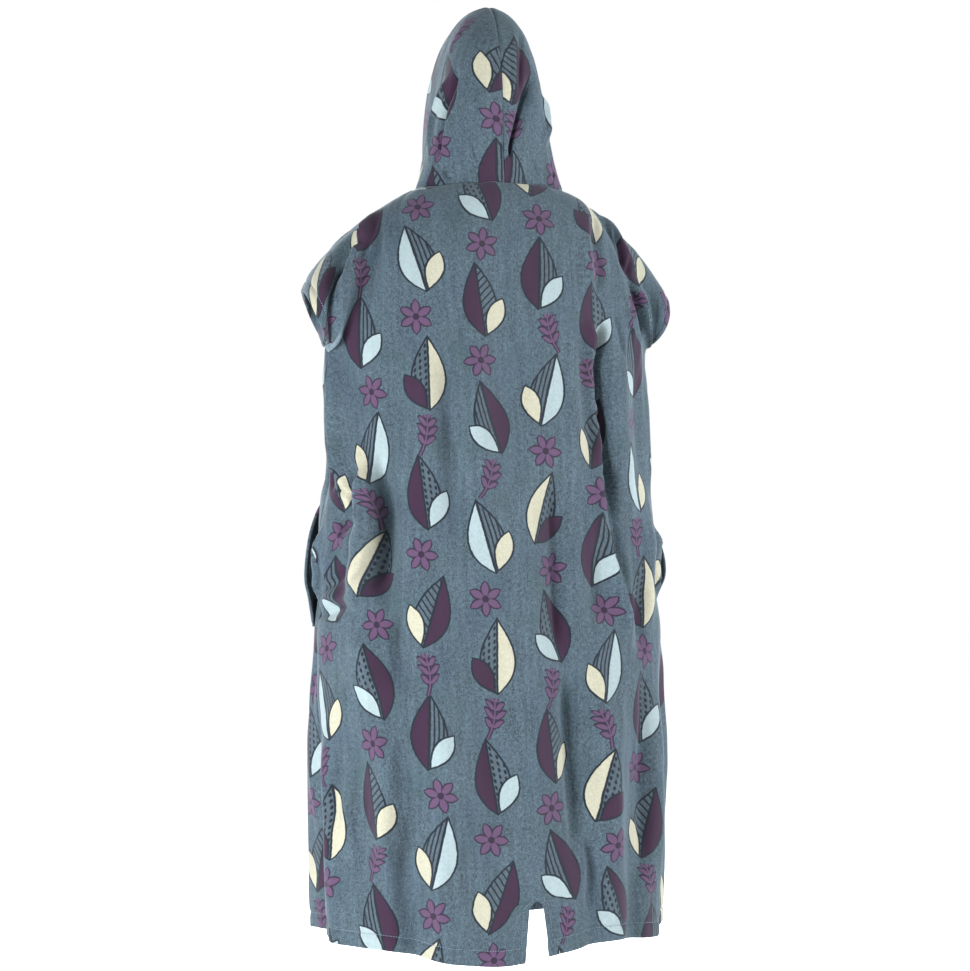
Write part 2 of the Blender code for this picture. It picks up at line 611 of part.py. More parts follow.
def hood_half(side, material):
    """One half of the hood. Its ribs start from a single point at the nape."""
    share = np.linspace(0.0, 1.0, HOOD_RIB_COUNT + 1)[1:, None]
    way = np.linspace(0.0, 1.0, HOOD_ROWS + 1)[None, :]
    share, way = np.broadcast_arrays(share, way)
    outer = hood_point(side, share, way)
    outward = outward_of(lambda a, b: hood_point(side, a, b), share, way, 0.01)
    outward[:, 0] = unit(outward[:, 0] * (0, 1, 1))  # along the centre seam the two halves meet flat
    inner = outer - outward * CLOTH
    nape = neck_point(np.array(0.0))
    outer = np.concatenate([nape[None], outer.reshape(-1, 3)])
    inner = np.concatenate([(nape - (0.0, CLOTH, 0.0))[None], inner.reshape(-1, 3)])
    faces = [(0, 1 + i, 2 + i) for i in range(HOOD_ROWS)] + grid_faces(grid_numbers(share.shape, first=1))
    way_out = 1.0 if side == "left" else -1.0
    mirror = np.array((way_out, 1.0, 1.0))
    aside = hood_rib("aside", share) * (1.0 - way**4)
    lean = stacked(np.append(0.0, aside), 0.0, 0.0)
    move = lean + (way_out * SEAM_GAP / 2, 0.0, SEAM_GAP)
    return cloth_wall("hood_" + side, outer * mirror + move, inner * mirror + move, faces, material)


# ================================================================ the garment
def velour(name, colour):
    """A soft, dull cloth."""
    material = bpy.data.materials.new(name)
    material.use_nodes = True
    shader = material.node_tree.nodes["Principled BSDF"]
    shader.inputs["Base Color"].default_value = (*colour, 1.0)
    shader.inputs["Roughness"].default_value = 0.95
    shader.inputs["Metallic"].default_value = 0.0
    return material


def main():
    """Clear the scene and build the garment's five pieces in a collection of its own."""
    for old in list(bpy.data.objects):
        bpy.data.objects.remove(old)
    poncho = bpy.data.collections.new("hooded_bath_poncho")
    bpy.context.scene.collection.children.link(poncho)
    slate = (0.110, 0.165, 0.215)
    pieces = (
        back_panel(velour("velour_back", slate)),
        front_panel(velour("velour_front", slate)),
        pocket(velour("velour_pocket", slate)),
        hood_half("left", velour("velour_hood_left", slate)),
        hood_half("right", velour("velour_hood_right", slate)),
    )
    for piece in pieces:
        poncho.objects.link(piece)


main()
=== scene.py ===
"""Finish of a hooded bath poncho: five pieces of printed cotton velour, sewn, hemmed and worn open and empty.

Frame: metres, +Z up, front towards -Y, the wearer's left towards +X, the origin in the neck opening. Angles go
round the body in degrees from the centre back, positive to the wearer's left. "Across" runs over one panel from
-1 at the wearer's right to 1 at their left, and "down" is the way down the cloth from the neck seam.
"""

import logging
import math
from dataclasses import dataclass
from enum import Enum
from typing import Any, Callable, Optional, Sequence

import bpy
import numpy as np
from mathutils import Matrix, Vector


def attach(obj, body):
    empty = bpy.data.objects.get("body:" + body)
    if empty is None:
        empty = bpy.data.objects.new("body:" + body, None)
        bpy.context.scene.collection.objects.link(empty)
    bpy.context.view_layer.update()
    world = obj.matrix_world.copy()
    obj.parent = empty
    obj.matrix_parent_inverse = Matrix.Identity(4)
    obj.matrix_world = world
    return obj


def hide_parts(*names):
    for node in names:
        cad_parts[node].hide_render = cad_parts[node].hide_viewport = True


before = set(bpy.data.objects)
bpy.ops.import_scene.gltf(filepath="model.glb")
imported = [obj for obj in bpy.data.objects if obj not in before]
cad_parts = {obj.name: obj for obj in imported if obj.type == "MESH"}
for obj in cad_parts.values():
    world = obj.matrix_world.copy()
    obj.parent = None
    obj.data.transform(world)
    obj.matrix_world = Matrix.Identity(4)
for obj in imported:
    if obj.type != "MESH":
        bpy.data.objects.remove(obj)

log = logging.getLogger("poncho")
Array = np.ndarray
Pair = tuple[float, float]
Triple = tuple[float, float, float]


class Panel(Enum):
    """The two body panels."""

    BACK = "back"
    FRONT = "front"


class Side(Enum):
    """The wearer's two sides, by the sign of their x."""

    LEFT = 1.0
    RIGHT = -1.0


# -------- curves
def smooth(t: Any) -> Array:
    """0 to 1 as t goes from 0 to 1, level at both ends."""
    t = np.clip(t, 0.0, 1.0)
    return t * t * (3.0 - 2.0 * t)


def cubic(p0: Array, p1: Array, p2: Array, p3: Array, t: Array) -> Array:
    """The point at t of a cubic curve from p0 to p3 with the handles p1 and p2."""
    s = 1.0 - t
    return s**3 * p0 + 3 * s * s * t * p1 + 3 * s * t * t * p2 + t**3 * p3


def through(places: Sequence[float], values: Sequence[float], at: Any) -> Array:
    """Reads a smooth curve through values at places.

    Args:
        places: where the curve's points stand, rising.
        values: their values.
        at: the places to read.

    Returns:
        The curve's value at each place.
    """
    places, values, at = (np.asarray(a, float) for a in (places, values, at))
    steps = np.diff(values) / np.diff(places)
    slopes = np.concatenate([steps[:1], (steps[1:] + steps[:-1]) / 2, steps[-1:]])
    i = np.clip(np.searchsorted(places, at) - 1, 0, len(places) - 2)
    width = places[i + 1] - places[i]
    t = np.clip((at - places[i]) / width, 0.0, 1.0)
    return (
        (2 * t**3 - 3 * t**2 + 1) * values[i]
        + (t**3 - 2 * t**2 + t) * width * slopes[i]
        + (3 * t**2 - 2 * t**3) * values[i + 1]
        + (t**3 - t**2) * width * slopes[i + 1]
    )


def column_of(table: Sequence[Any], name: str) -> list[float]:
    """One named column of a table."""
    return [getattr(row, name) for row in table]


def bell(away: Array, width: Any) -> Array:
    """A fold's form across its line: 1 on the line, and almost nothing at its width."""
    return np.exp(-((1.5 * away / width) ** 2))


def softened(line: Array, kernel: Array) -> Array:
    """A row of values, each a weighted mean of its neighbours."""
    return np.convolve(np.pad(line, len(kernel) // 2, mode="edge"), kernel, mode="valid")


def unit(vectors: Array) -> Array:
    """The vectors at length one."""
    return vectors / np.maximum(np.linalg.norm(vectors, axis=-1, keepdims=True), 1e-12)


def stacked(x: Any, y: Any, z: Any) -> Array:
    """Points from their three coordinates."""
    return np.stack(np.broadcast_arrays(x, y, z), axis=-1)


def grid_slopes(points: Array) -> tuple[Array, Array]:
    """The directions down the columns and along the rows of a grid of points."""
    return unit(np.gradient(points, axis=0)), unit(np.gradient(points, axis=1))


# -------- tables of sizes
@dataclass(frozen=True)
class Section:
    """One level round of the body: its height, its middle's place aside, and its sizes."""

    height: float
    aside: float
    half_width: float
    back_depth: float
    front_depth: float


@dataclass(frozen=True)
class Fold:
    """A broad fold from one angle and depth to another: a ridge above zero rise, a trough below."""

    angle_top: float
    angle_bottom: float
    down_top: float
    down_bottom: float
    rise: float
    spread: float


@dataclass(frozen=True)
class Wrinkle:
    """A narrower fold along a bent path.

    path holds the places that it runs through. rise is its height, and is below zero for a trough. near and far
    are its widths on the path's two sides, so that one side can be steep. lean moves its top aside.
    """

    path: tuple[Pair, ...]
    rise: float
    near: float
    far: float
    lean: float = 0.0
    taper: float = 0.30


@dataclass(frozen=True)
class Wave:
    """One slight unevenness of the cloth, by its lengths across and along the grain.

    It comes and goes in patches, which are longer than its waves by patch_along and patch_across.
    """

    across: float
    along: float
    start: float
    bend: float
    rise: float
    bend_start: float = 0.37
    patch_along: float = 1.7
    patch_across: float = 3.1

    def lift(self, x: Array, y: Array) -> Array:
        """How far it raises the cloth.

        Args:
            x: metres across the cloth.
            y: metres down it.

        Returns:
            The rise at each place.
        """
        bend = self.bend * np.sin(2 * np.pi * (y / self.along + self.bend_start * self.start))
        turn = 2 * np.pi * (x / self.across + bend + self.start)
        patch = np.sin(2 * np.pi * (y / (self.patch_along * self.along) + x / (self.patch_across * self.across)))
        return self.rise * np.sin(turn) * (0.5 + 0.5 * patch)


@dataclass(frozen=True)
class Mouth:
    """The pocket at one depth: how far round it reaches each way, and how far its mouths stand out."""

    down: float
    half_angle_left: float
    half_angle_right: float
    out_left: float
    out_right: float


@dataclass(frozen=True)
class Rib:
    """One rib of the hood, from its centre seam to the neck seam."""

    seam_y: float
    seam_z: float
    aside: float
    neck_angle: float
    out: float
    down: float
    lower_in: float
    lower_back: float
    lower_up: float


# -------- wrinkles
@dataclass(frozen=True)
class Creasing:
    """The wrinkles and unevenness of one piece, in metres along its cloth."""

    wrinkles: tuple[Wrinkle, ...]
    waves: tuple[Wave, ...] = ()
    samples: int = 19

    def path_of(self, wrinkle: Wrinkle, place: Callable[[Array], Array]) -> Array:
        """A wrinkle's path, smooth through its given places.

        Args:
            wrinkle: the wrinkle.
            place: turns a path's table values into metres.

        Returns:
            The path's points in metres.
        """
        places = place(np.array(wrinkle.path, float))
        stops = np.linspace(0.0, 1.0, len(places))
        t = np.linspace(0.0, 1.0, self.samples)
        return np.stack([through(stops, places[:, k], t) for k in range(2)], axis=-1)

    def moves(self, x: Array, y: Array, place: Callable[[Array], Array], around: float) -> Array:
        """Adds up what every wrinkle does to the cloth.

        Args:
            x: each point's place across the cloth.
            y: each point's place down the cloth.
            place: turns a path's table values into metres.
            around: the length after which x comes round again, or 0.

        Returns:
            For each point its rise, its move across and its move down.
        """
        total = np.zeros(x.shape + (3,))
        for wrinkle in self.wrinkles:
            path = self.path_of(wrinkle, place)
            best = np.full(x.shape, 1e9)
            side = np.zeros(x.shape)
            share = np.zeros(x.shape)
            turn = np.zeros(x.shape + (2,))
            offset = x - path[len(path) // 2, 0]
            wrapped = x - (around * np.round(offset / around) if around else 0.0)
            for i in range(len(path) - 1):
                run = path[i + 1] - path[i]
                length = float(np.hypot(*run)) + 1e-9
                dx, dy = wrapped - path[i, 0], y - path[i, 1]
                t = np.clip((dx * run[0] + dy * run[1]) / length**2, 0.0, 1.0)
                ax, ay = dx - t * run[0], dy - t * run[1]
                away = np.hypot(ax, ay)
                closer = away < best
                best = np.where(closer, away, best)
                side = np.where(closer, (dx * run[1] - dy * run[0]) / length, side)
                share = np.where(closer, (i + t) / (len(path) - 1), share)
                turn = np.where(closer[..., None], np.array((run[1], -run[0])) / length, turn)
            width = np.where(side > 0, wrinkle.near, wrinkle.far)
            ends = smooth(share / wrinkle.taper) * smooth((1.0 - share) / wrinkle.taper)
            form = ends * bell(best, width)
            total[..., 0] += wrinkle.rise * form
            total[..., 1:] += turn * (wrinkle.lean * form * form)[..., None]
        for wave in self.waves:
            total[..., 0] += wave.lift(x, y)
        return total


def fold_rows(*rows: Sequence[int]) -> tuple[Fold, ...]:
    """Broad folds from a table of their values, in degrees and millimetres."""
    return tuple(Fold(*row[:2], *[length / 1000 for length in row[2:5]], row[5]) for row in rows)


def wrinkle_rows(*rows: Sequence[Any]) -> tuple[Wrinkle, ...]:
    """Wrinkles from a table.

    Args:
        rows: a Wrinkle's values each. The path is in degrees and millimetres, and the lengths are in millimetres.

    Returns:
        The wrinkles.
    """
    made = []
    for path, *sizes in rows:
        places = tuple((angle, down / 1000) for angle, down in path)
        made.append(Wrinkle(places, *[length / 1000 for length in sizes[:4]], *sizes[4:]))
    return tuple(made)


BODY_FOLDS = fold_rows(
    # back, wearer's left
    (54, 63, 10, 105, 10, 7),
    (66, 74, 30, 120, -8, 7),
    (62, 76, 75, 260, 12, 7),
    (48, 58, 60, 200, -9, 8),
    (76, 74, 200, 480, 13, 8),
    (90, 88, 245, 500, -11, 9),
    (64, 67, 440, 520, -16, 7),
    (54, 58, 460, 630, 24, 9),
    (43, 47, 390, 640, -22, 8),
    (64, 88, 600, 640, -12, 12),
    (58, 58, 230, 420, -8, 8),
    (82, 80, 520, 610, 10, 8),
    # back, middle
    (31, 29, 220, 440, 10, 8),
    (22, 20, 300, 560, -7, 7),
    (15, 11, 160, 540, 9, 9),
    (-11, -13, 380, 740, -16, 7),
    (-14, -19, 660, 990, -16, 7),
    (-19, -20, 130, 470, 10, 7),
    (-3, -4, 640, 960, 7, 9),
    (4, 2, 80, 400, -5, 9),
    # back, wearer's right
    (-38, -52, 40, 150, -7, 7),
    (-48, -58, 10, 130, 8, 7),
    (-56, -80, 120, 250, 10, 7),
    (-26, -34, 170, 480, -17, 8),
    (-42, -44, 190, 500, 12, 9),
    (-56, -60, 240, 470, -10, 8),
    (-72, -74, 250, 480, 6, 8),
    (-28, -29, 500, 660, -12, 7),
    (-38, -39, 520, 700, 9, 8),
    (-60, -52, 470, 660, 12, 9),
    (-50, -46, 560, 700, -10, 8),
    # back, lower half
    (55, 58, 640, 740, 10, 8),
    (39, 41, 600, 740, -12, 8),
    (46, 45, 730, 1020, 12, 8),
    (25, 26, 700, 1100, 12, 9),
    (36, 37, 880, 1100, -14, 8),
    (60, 56, 760, 1060, -10, 8),
    (76, 72, 740, 1100, 12, 8),
    (12, 12, 620, 900, -8, 8),
    (-30, -30, 680, 1020, 13, 8),
    (-25, -23, 900, 1100, -10, 7),
    (-43, -41, 760, 1100, -11, 8),
    (-58, -56, 700, 1060, 11, 9),
    (-74, -70, 640, 1100, -12, 9),
    # sides
    (98, 96, 670, 960, 11, 8),
    (90, 90, 740, 1100, -11, 8),
    (-90, -92, 250, 520, -11, 9),
    (-89, -88, 680, 1100, 12, 8),
    # front
    (128, 122, 20, 240, -12, 8),
    (-126, -121, 20, 230, -11, 8),
    (116, 112, 60, 200, 10, 8),
    (-115, -111, 60, 210, 10, 8),
    (118, 124, 150, 420, 12, 9),
    (-117, -122, 170, 420, 12, 9),
    (138, 150, 100, 420, -11, 9),
    (-141, -152, 130, 415, -12, 9),
    (164, 167, 150, 420, 10, 9),
    (-168, -171, 110, 420, 9, 9),
    (178, 179, 200, 420, -8, 8),
    (106, 104, 250, 460, -11, 8),
    (-105, -104, 260, 460, -12, 8),
    (120, 125, 665, 1100, -14, 9),
    (137, 141, 690, 1100, 13, 9),
    (158, 157, 670, 1100, -14, 9),
    (176, 175, 700, 1100, 13, 10),
    (-162, -164, 665, 1100, -14, 9),
    (-143, -145, 700, 1100, 14, 9),
    (-125, -122, 665, 1100, -14, 9),
    (-106, -104, 690, 1100, 12, 8),
    (106, 107, 700, 1100, 12, 8),
)

BODY_WRINKLES = wrinkle_rows(
    # left shoulder and sleeve
    (((56.5, 35), (61.8, 80), (67, 99), (72, 130), (76, 194)), 12, 6, 14, 6, 0.18),
    (((75.2, 163), (72.8, 255), (70.8, 357), (70.5, 447)), 12.5, 6, 16, 6, 0.16),
    (((59.5, 82), (63.5, 82), (68.5, 62)), -16, 7, 6),
    (((53, 43), (56.8, 72), (60, 95), (61.8, 125)), -6.3, 7, 9, 0, 0.25),
    (((66.5, 82), (71.5, 107), (76.5, 138), (81, 200)), -14, 10, 6),
    (((79, 215), (75, 300), (74.5, 386), (75.5, 450)), -18, 12, 6, 0, 0.16),
    (((73.8, 54), (79.2, 85), (86.2, 113)), 3.7, 14, 14),
    # roll of cloth over the left pocket mouth, its undercut, and the pinch beside it
    (((55, 380), (53, 444), (51.5, 500), (54.5, 552), (62.5, 594)), 16.5, 18, 12, -6, 0.24),
    (((49, 375), (47.3, 450), (46.6, 515), (49.3, 566), (56.5, 606)), -14, 7, 16, 0, 0.24),
    (((51, 590), (57, 614), (66, 622)), -6, 14, 12, 0, 0.35),
    (((60.5, 400), (60.2, 457), (59.8, 510), (65.2, 556)), -19, 9, 6, 0, 0.24),
    (((69.5, 420), (65.5, 452), (68, 486)), 8, 9, 8, -2, 0.35),
    (((71, 438), (66.5, 446), (61.5, 452)), -14, 7, 7, 0, 0.35),
    (((56.6, 404), (55.6, 440), (55, 474), (53, 506)), 13, 5, 14, 8),
    (((73, 486), (68.5, 494), (60.2, 482)), -8, 8, 8, 0, 0.35),
    (((57.5, 522), (69.8, 568), (88, 606)), -7.5, 10, 10, 0, 0.25),
    (((51.2, 610), (64.2, 603), (93.5, 604)), 6.3, 14, 14),
    # long fold from the right shoulder to the right pocket mouth, its left side uppermost
    (((-28.8, 29), (-24.8, 86), (-25.2, 129), (-27.2, 175)), 7.5, 18, 8, -2, 0.25),
    (((-33.2, 41), (-28.2, 99), (-29.8, 138), (-31, 179)), -5.5, 6, 12, 0, 0.2),
    (((-29, 192), (-29.2, 230), (-29, 269), (-30.2, 317), (-32, 363)), 13.7, 20, 7, -5, 0.2),
    (((-33.2, 192), (-32.8, 230), (-32.5, 270), (-33.5, 318), (-35, 364)), -13.7, 6, 14, 0, 0.2),
    (((-31, 328), (-32.5, 384), (-30.2, 444), (-30, 510)), 12.5, 18, 7, -4, 0.2),
    (((-34.2, 328), (-35.8, 385), (-35, 444), (-34.2, 510)), -12.5, 6, 14, 0, 0.2),
    (((-30, 480), (-33, 539), (-36, 594), (-39, 671)), 11.2, 16, 8, -3, 0.2),
    (((-34.5, 480), (-36.8, 539), (-40.8, 594), (-47.8, 671)), -10, 6, 12, 0, 0.2),
    # right shoulder and sleeve
    (((-48, 59), (-50.5, 97), (-52, 138)), -7.5, 8, 8),
    (((-57, 98), (-55.8, 118), (-52, 138)), -5, 5, 6),
    (((-51.5, 136), (-55.8, 161), (-60, 191), (-62.8, 221)), -8.8, 7, 7, 0, 0.25),
    (((-39.8, 182), (-43.2, 217), (-44.2, 249)), -6.3, 9, 8),
    (((-44.5, 153), (-49.8, 187), (-54.5, 227)), 6.3, 7, 7),
    (((-57.2, 149), (-63.8, 169), (-68, 200)), 5, 10, 10),
    # back, from the shoulders to the waist
    (((12.2, 178), (13.8, 341), (13.2, 494)), 5, 26, 26, 0, 0.35),
    (((30.2, 257), (29, 342), (28.2, 426)), 5, 16, 18, 0, 0.35),
    (((23, 215), (22.2, 312), (22, 411)), -3.7, 18, 18, 0, 0.35),
    (((40, 285), (39, 342), (40.2, 400)), -3.7, 16, 18, 0, 0.35),
    (((-19, 175), (-17.5, 283), (-19.2, 415)), -5, 14, 20),
    (((-3.5, 65), (-9.5, 80), (-17.2, 106)), 3.7, 16, 18, 0, 0.35),
    (((27.2, 87), (37.2, 79), (53.2, 83)), -3.7, 16, 18, 0, 0.35),
    # back, from the waist to the hem
    (((-12.5, 399), (-13.5, 543), (-12.5, 714)), -7.5, 12, 22, 0, 0.25),
    (((-13.5, 679), (-15.2, 830), (-15.8, 1015)), -7.5, 14, 20, 0, 0.25),
    (((-3.2, 511), (-3.5, 596), (-3.5, 681)), 3.7, 16, 18, 0, 0.35),
    (((54.8, 641), (52, 693), (50.8, 751)), 6.3, 18, 20, 0, 0.35),
    (((40.5, 599), (39.5, 663), (37.5, 740)), -6.3, 14, 18, 0, 0.35),
    (((45.5, 778), (44.5, 883), (47.8, 1006)), 7.5, 18, 22),
    (((39.2, 932), (40.5, 997), (41, 1067)), -7.5, 14, 16, 0, 0.35),
    (((26.2, 735), (26.2, 818), (27.2, 908)), 5, 18, 20, 0, 0.35),
    (((26.5, 936), (27.8, 999), (27.8, 1081)), 6.3, 16, 18, 0, 0.35),
    (((63.5, 812), (68.8, 878), (72, 945)), -7.5, 12, 16),
    (((59, 811), (62.8, 890), (61, 991)), 5, 16, 16, 0, 0.35),
    (((70.2, 966), (68.8, 1022), (69.8, 1080)), 5, 14, 14, 0, 0.35),
    (((-22.8, 604), (-22.8, 661), (-23.2, 720)), -5, 12, 14, 0, 0.35),
    (((-26.5, 692), (-25.8, 757), (-26.2, 822)), 6.3, 16, 18, 0, 0.35),
    (((-25.5, 879), (-25.5, 945), (-27, 1018)), 6.3, 14, 18, 0, 0.35),
    (((-21.2, 928), (-22.2, 994), (-20, 1063)), -7.5, 12, 14),
    (((-35, 737), (-30, 881), (-33, 1042)), 5, 16, 18),
    (((-47.5, 678), (-47.5, 840), (-45.8, 1030)), -7.5, 12, 16, 0, 0.25),
    (((16.8, 537), (18.2, 662), (17.5, 788)), -3.7, 22, 24, 0, 0.35),
    (((6.2, 732), (8, 870), (9.5, 1022)), 3.7, 22, 24, 0, 0.35),
    # nested folds under the pocket mouths
    (((85, 495), (91, 540), (92, 582), (87, 622)), 15, 8, 9, 3),
    (((80, 520), (83, 560), (80, 600)), -7, 8, 8),
    (((-80, 492), (-86, 530), (-87, 572), (-82, 618)), 18, 8, 8, -2),
    (((-75, 520), (-78, 562), (-76, 606)), -6, 8, 8),
    # sides
    (((92, 640), (96, 780), (93, 960)), -7.5, 13.8, 16.1),
    (((102, 260), (99, 360), (98, 450)), -6.3, 13.8, 16.1),
    (((110, 230), (108, 330), (104, 430)), 7.5, 13.8, 17.2),
    (((-92, 250), (-94, 350), (-90, 470)), -7.5, 13.8, 16.1),
    (((-84, 240), (-83, 340), (-80, 440)), 6.3, 11.5, 16.1),
    (((-86, 640), (-84, 780), (-87, 950)), 7.5, 13.8, 18.4),
    (((-95, 650), (-97, 800), (-94, 1000)), -7.5, 13.8, 16.1),
    # front, from the shoulders to the pocket
    (((127, 20), (120, 80), (114, 150)), -7.5, 11.5, 13.8),
    (((121, 20), (114, 80), (107, 140)), 6.3, 11.5, 13.8),
    (((-128, 20), (-119, 80), (-113, 150)), -7.5, 12.6, 13.8),
    (((-120, 20), (-113, 75), (-106, 150)), 6.3, 11.5, 13.8),
    (((142, 110), (148, 230), (157, 330)), -7.5, 13.8, 18.4),
    (((134, 120), (139, 250), (146, 380)), 7.5, 14.9, 19.6),
    (((126, 180), (129, 290), (134, 400)), -7.5, 11.5, 16.1),
    (((-144, 100), (-150, 220), (-160, 330)), -7.5, 13.8, 17.2),
    (((-135, 120), (-139, 260), (-147, 400)), 7.5, 16.1, 18.4),
    (((-126, 190), (-128, 300), (-133, 410)), -6.3, 11.5, 16.1),
    (((168, 90), (180, 120), (-167, 95)), -5, 16.1, 16.1),
    (((162, 150), (179, 190), (-163, 155)), 3.7, 18.4, 16.1),
    (((174, 230), (175, 320), (172, 430)), 5, 20.7, 16.1),
    # front, from the pocket to the hem
    (((113, 660), (116, 780), (114, 940)), 7.5, 14.9, 18.4),
    (((122, 650), (124, 800), (122, 1000)), -10, 13.8, 17.2),
    (((141, 670), (142, 820), (138, 1020)), 8.8, 16.1, 23),
    (((156, 650), (157, 850), (154, 1060)), -10, 14.9, 19.6),
    (((170, 660), (171, 800), (174, 960)), 6.3, 16.1, 20.7),
    (((-171, 820), (-172, 940), (-170, 1090)), 7.5, 14.9, 18.4),
    (((-161, 650), (-163, 820), (-166, 1020)), -10, 13.8, 20.7),
    (((-146, 680), (-144, 850), (-147, 1050)), 8.8, 16.1, 20.7),
    (((-126, 650), (-123, 800), (-124, 960)), -10, 14.9, 17.2),
    (((-114, 660), (-112, 800), (-108, 1000)), 7.5, 14.9, 17.2),
)

BODY_CREASING = Creasing(
    wrinkles=BODY_WRINKLES,
    waves=(
        Wave(0.061, 0.47, 0.13, 0.22, 0.0009),
        Wave(0.037, 0.31, 0.58, 0.30, 0.0006),
        Wave(0.021, 0.17, 0.29, 0.35, 0.00035),
        Wave(0.093, 0.71, 0.81, 0.18, 0.0011),
    ),
)


# -------- the worn form
@dataclass(frozen=True)
class BodyForm:
    """The outer face of the two body panels as they hang on a wearer.

    hem_line gives the hem's height at angles round the body.
    """

    cloth: float = 0.0024
    seam_gap: float = 0.0003
    underarm: float = -0.229
    hem: float = -1.100
    fullness: float = 0.03
    sections: tuple[Section, ...] = (
        Section(-0.229, 0.000, 0.242, 0.136, 0.134),
        Section(-0.330, 0.002, 0.244, 0.143, 0.140),
        Section(-0.420, 0.000, 0.246, 0.149, 0.146),
        Section(-0.500, -0.002, 0.253, 0.154, 0.152),
        Section(-0.570, -0.003, 0.251, 0.158, 0.158),
        Section(-0.640, -0.004, 0.260, 0.163, 0.164),
        Section(-0.760, -0.004, 0.260, 0.170, 0.170),
        Section(-0.900, -0.005, 0.260, 0.178, 0.176),
        Section(-1.010, -0.006, 0.259, 0.184, 0.180),
        Section(-1.110, -0.007, 0.256, 0.190, 0.185),
    )
    hem_line: tuple[Pair, ...] = (
        (-180, -1.096), (-130, -1.092), (-90, -1.086), (-60, -1.091), (-29, -1.081),
        (-12, -1.089), (8, -1.103), (30, -1.094), (44, -1.084), (66, -1.082),
        (90, -1.075), (135, -1.088), (180, -1.096),
    )
    neck_half_width: float = 0.112
    neck_middle: float = 0.012
    neck_back: Pair = (0.086, 0.004)
    neck_front: Pair = (-0.082, -0.070)
    neck_side_height: float = -0.003
    neck_share: float = 0.39
    shoulder_left: tuple[Triple, ...] = (
        (0.112, 0.012, -0.003),
        (0.158, 0.008, -0.024),
        (0.250, -0.008, -0.082),
        (0.276, -0.018, -0.153),
    )
    shoulder_right: tuple[Triple, ...] = (
        (-0.112, 0.012, -0.003),
        (-0.162, 0.008, -0.036),
        (-0.243, -0.008, -0.076),
        (-0.268, -0.018, -0.155),
    )
    arm_back: tuple[Triple, Triple] = ((0.018, 0.085, 0.002), (0.006, 0.078, 0.004))
    arm_front: tuple[Triple, Triple] = ((-0.020, -0.090, -0.004), (-0.002, -0.086, -0.004))
    leave_neck_back: Pair = (0.036, -0.040)
    leave_neck_front: Pair = (-0.030, -0.030)
    leave_shoulder: float = 0.092
    rise_to_chest: float = 0.082
    neck_turn: float = 45.0
    neck_turn_ends: float = 0.28
    sideways_drop: float = 0.25
    top_follows_arm: float = 0.62
    chest_follows_arm: float = 0.55
    soften_reach: float = 0.15
    soften_depth: float = 0.35
    soften_weights: tuple[Pair, ...] = ((-1.0, 0.15), (-0.5, 0.22), (0.0, 0.26), (0.5, 0.22), (1.0, 0.15))
    soften_ends: float = 0.78
    round_half_width: float = 0.250
    round_depth: float = 0.155
    neck_dip: float = 1.5
    chest_turn: float = 1.5
    past_hem: float = 1.05
    frame_step: float = 0.0015
    fold_taper: float = 0.34
    folds: tuple[Fold, ...] = BODY_FOLDS
    creasing: Creasing = BODY_CREASING

    def angle_of(self, across: Array, panel: Panel) -> Array:
        """The angle round the body at a place across a panel."""
        return 180.0 - 90.0 * across if panel is Panel.FRONT else 90.0 * across

    def neck_point(self, angle: Any) -> Array:
        """The neck seam.

        Args:
            angle: degrees round it from the centre back.

        Returns:
            The seam's points.
        """
        turn = np.radians(angle)
        back = np.cos(turn) >= 0
        place = np.where(back, self.neck_back[0], self.neck_front[0])
        height = np.where(back, self.neck_back[1], self.neck_front[1])
        share = np.abs(np.cos(turn))
        y = self.neck_middle + (place - self.neck_middle) * share
        z = self.neck_side_height + (height - self.neck_side_height) * share**self.neck_dip
        return stacked(self.neck_half_width * np.sin(turn), y, z)

    def top_edge(self, across: Array, panel: Panel) -> Array:
        """A panel's top edge: neckline, then shoulder line.

        Args:
            across: places across the panel.
            panel: which panel.

        Returns:
            The edge's points.
        """
        size = np.minimum(np.abs(across), 1.0)
        turn = 90.0 * np.sign(across) * np.minimum(size / self.neck_share, 1.0)
        neck = self.neck_point(180.0 - turn if panel is Panel.FRONT else turn)
        t = np.clip((size - self.neck_share) / (1.0 - self.neck_share), 0.0, 1.0)[..., None]
        left = cubic(*[np.array(p) for p in self.shoulder_left], t)
        right = cubic(*[np.array(p) for p in self.shoulder_right], t)
        shoulder = np.where((across >= 0)[..., None], left, right)
        return np.where((size <= self.neck_share)[..., None], neck, shoulder)

    def ring(self, angle: Array, height: Array) -> Array:
        """The body's round below the arms, without its folds.

        Args:
            angle: degrees round it.
            height: the level.

        Returns:
            The points in metres.
        """
        turn = np.radians(angle)
        heights = column_of(self.sections, "height")[::-1]
        read = {
            name: through(heights, column_of(self.sections, name)[::-1], height)
            for name in ("half_width", "back_depth", "front_depth", "aside")
        }
        full = 1.0 + self.fullness * np.sin(2.0 * turn) ** 2
        depth = np.where(np.cos(turn) >= 0, read["back_depth"], read["front_depth"])
        x = read["aside"] + read["half_width"] * np.sin(turn) * full
        return stacked(x, depth * np.cos(turn) * full, height)

    def arm_swing(self, across: Array, panel: Panel) -> Array:
        """The handle that gives the edge of an arm opening its half round.

        Args:
            across: places across the panel, of which only the sides count.
            panel: which panel.

        Returns:
            The handles. A cubic reaches three quarters of its handles' length, hence the 4 / 3.
        """
        left, right = self.arm_front if panel is Panel.FRONT else self.arm_back
        mirrored = np.array(right) * (-1, 1, 1)
        return np.where((across >= 0)[..., None], np.array(left), mirrored) * (4.0 / 3.0)

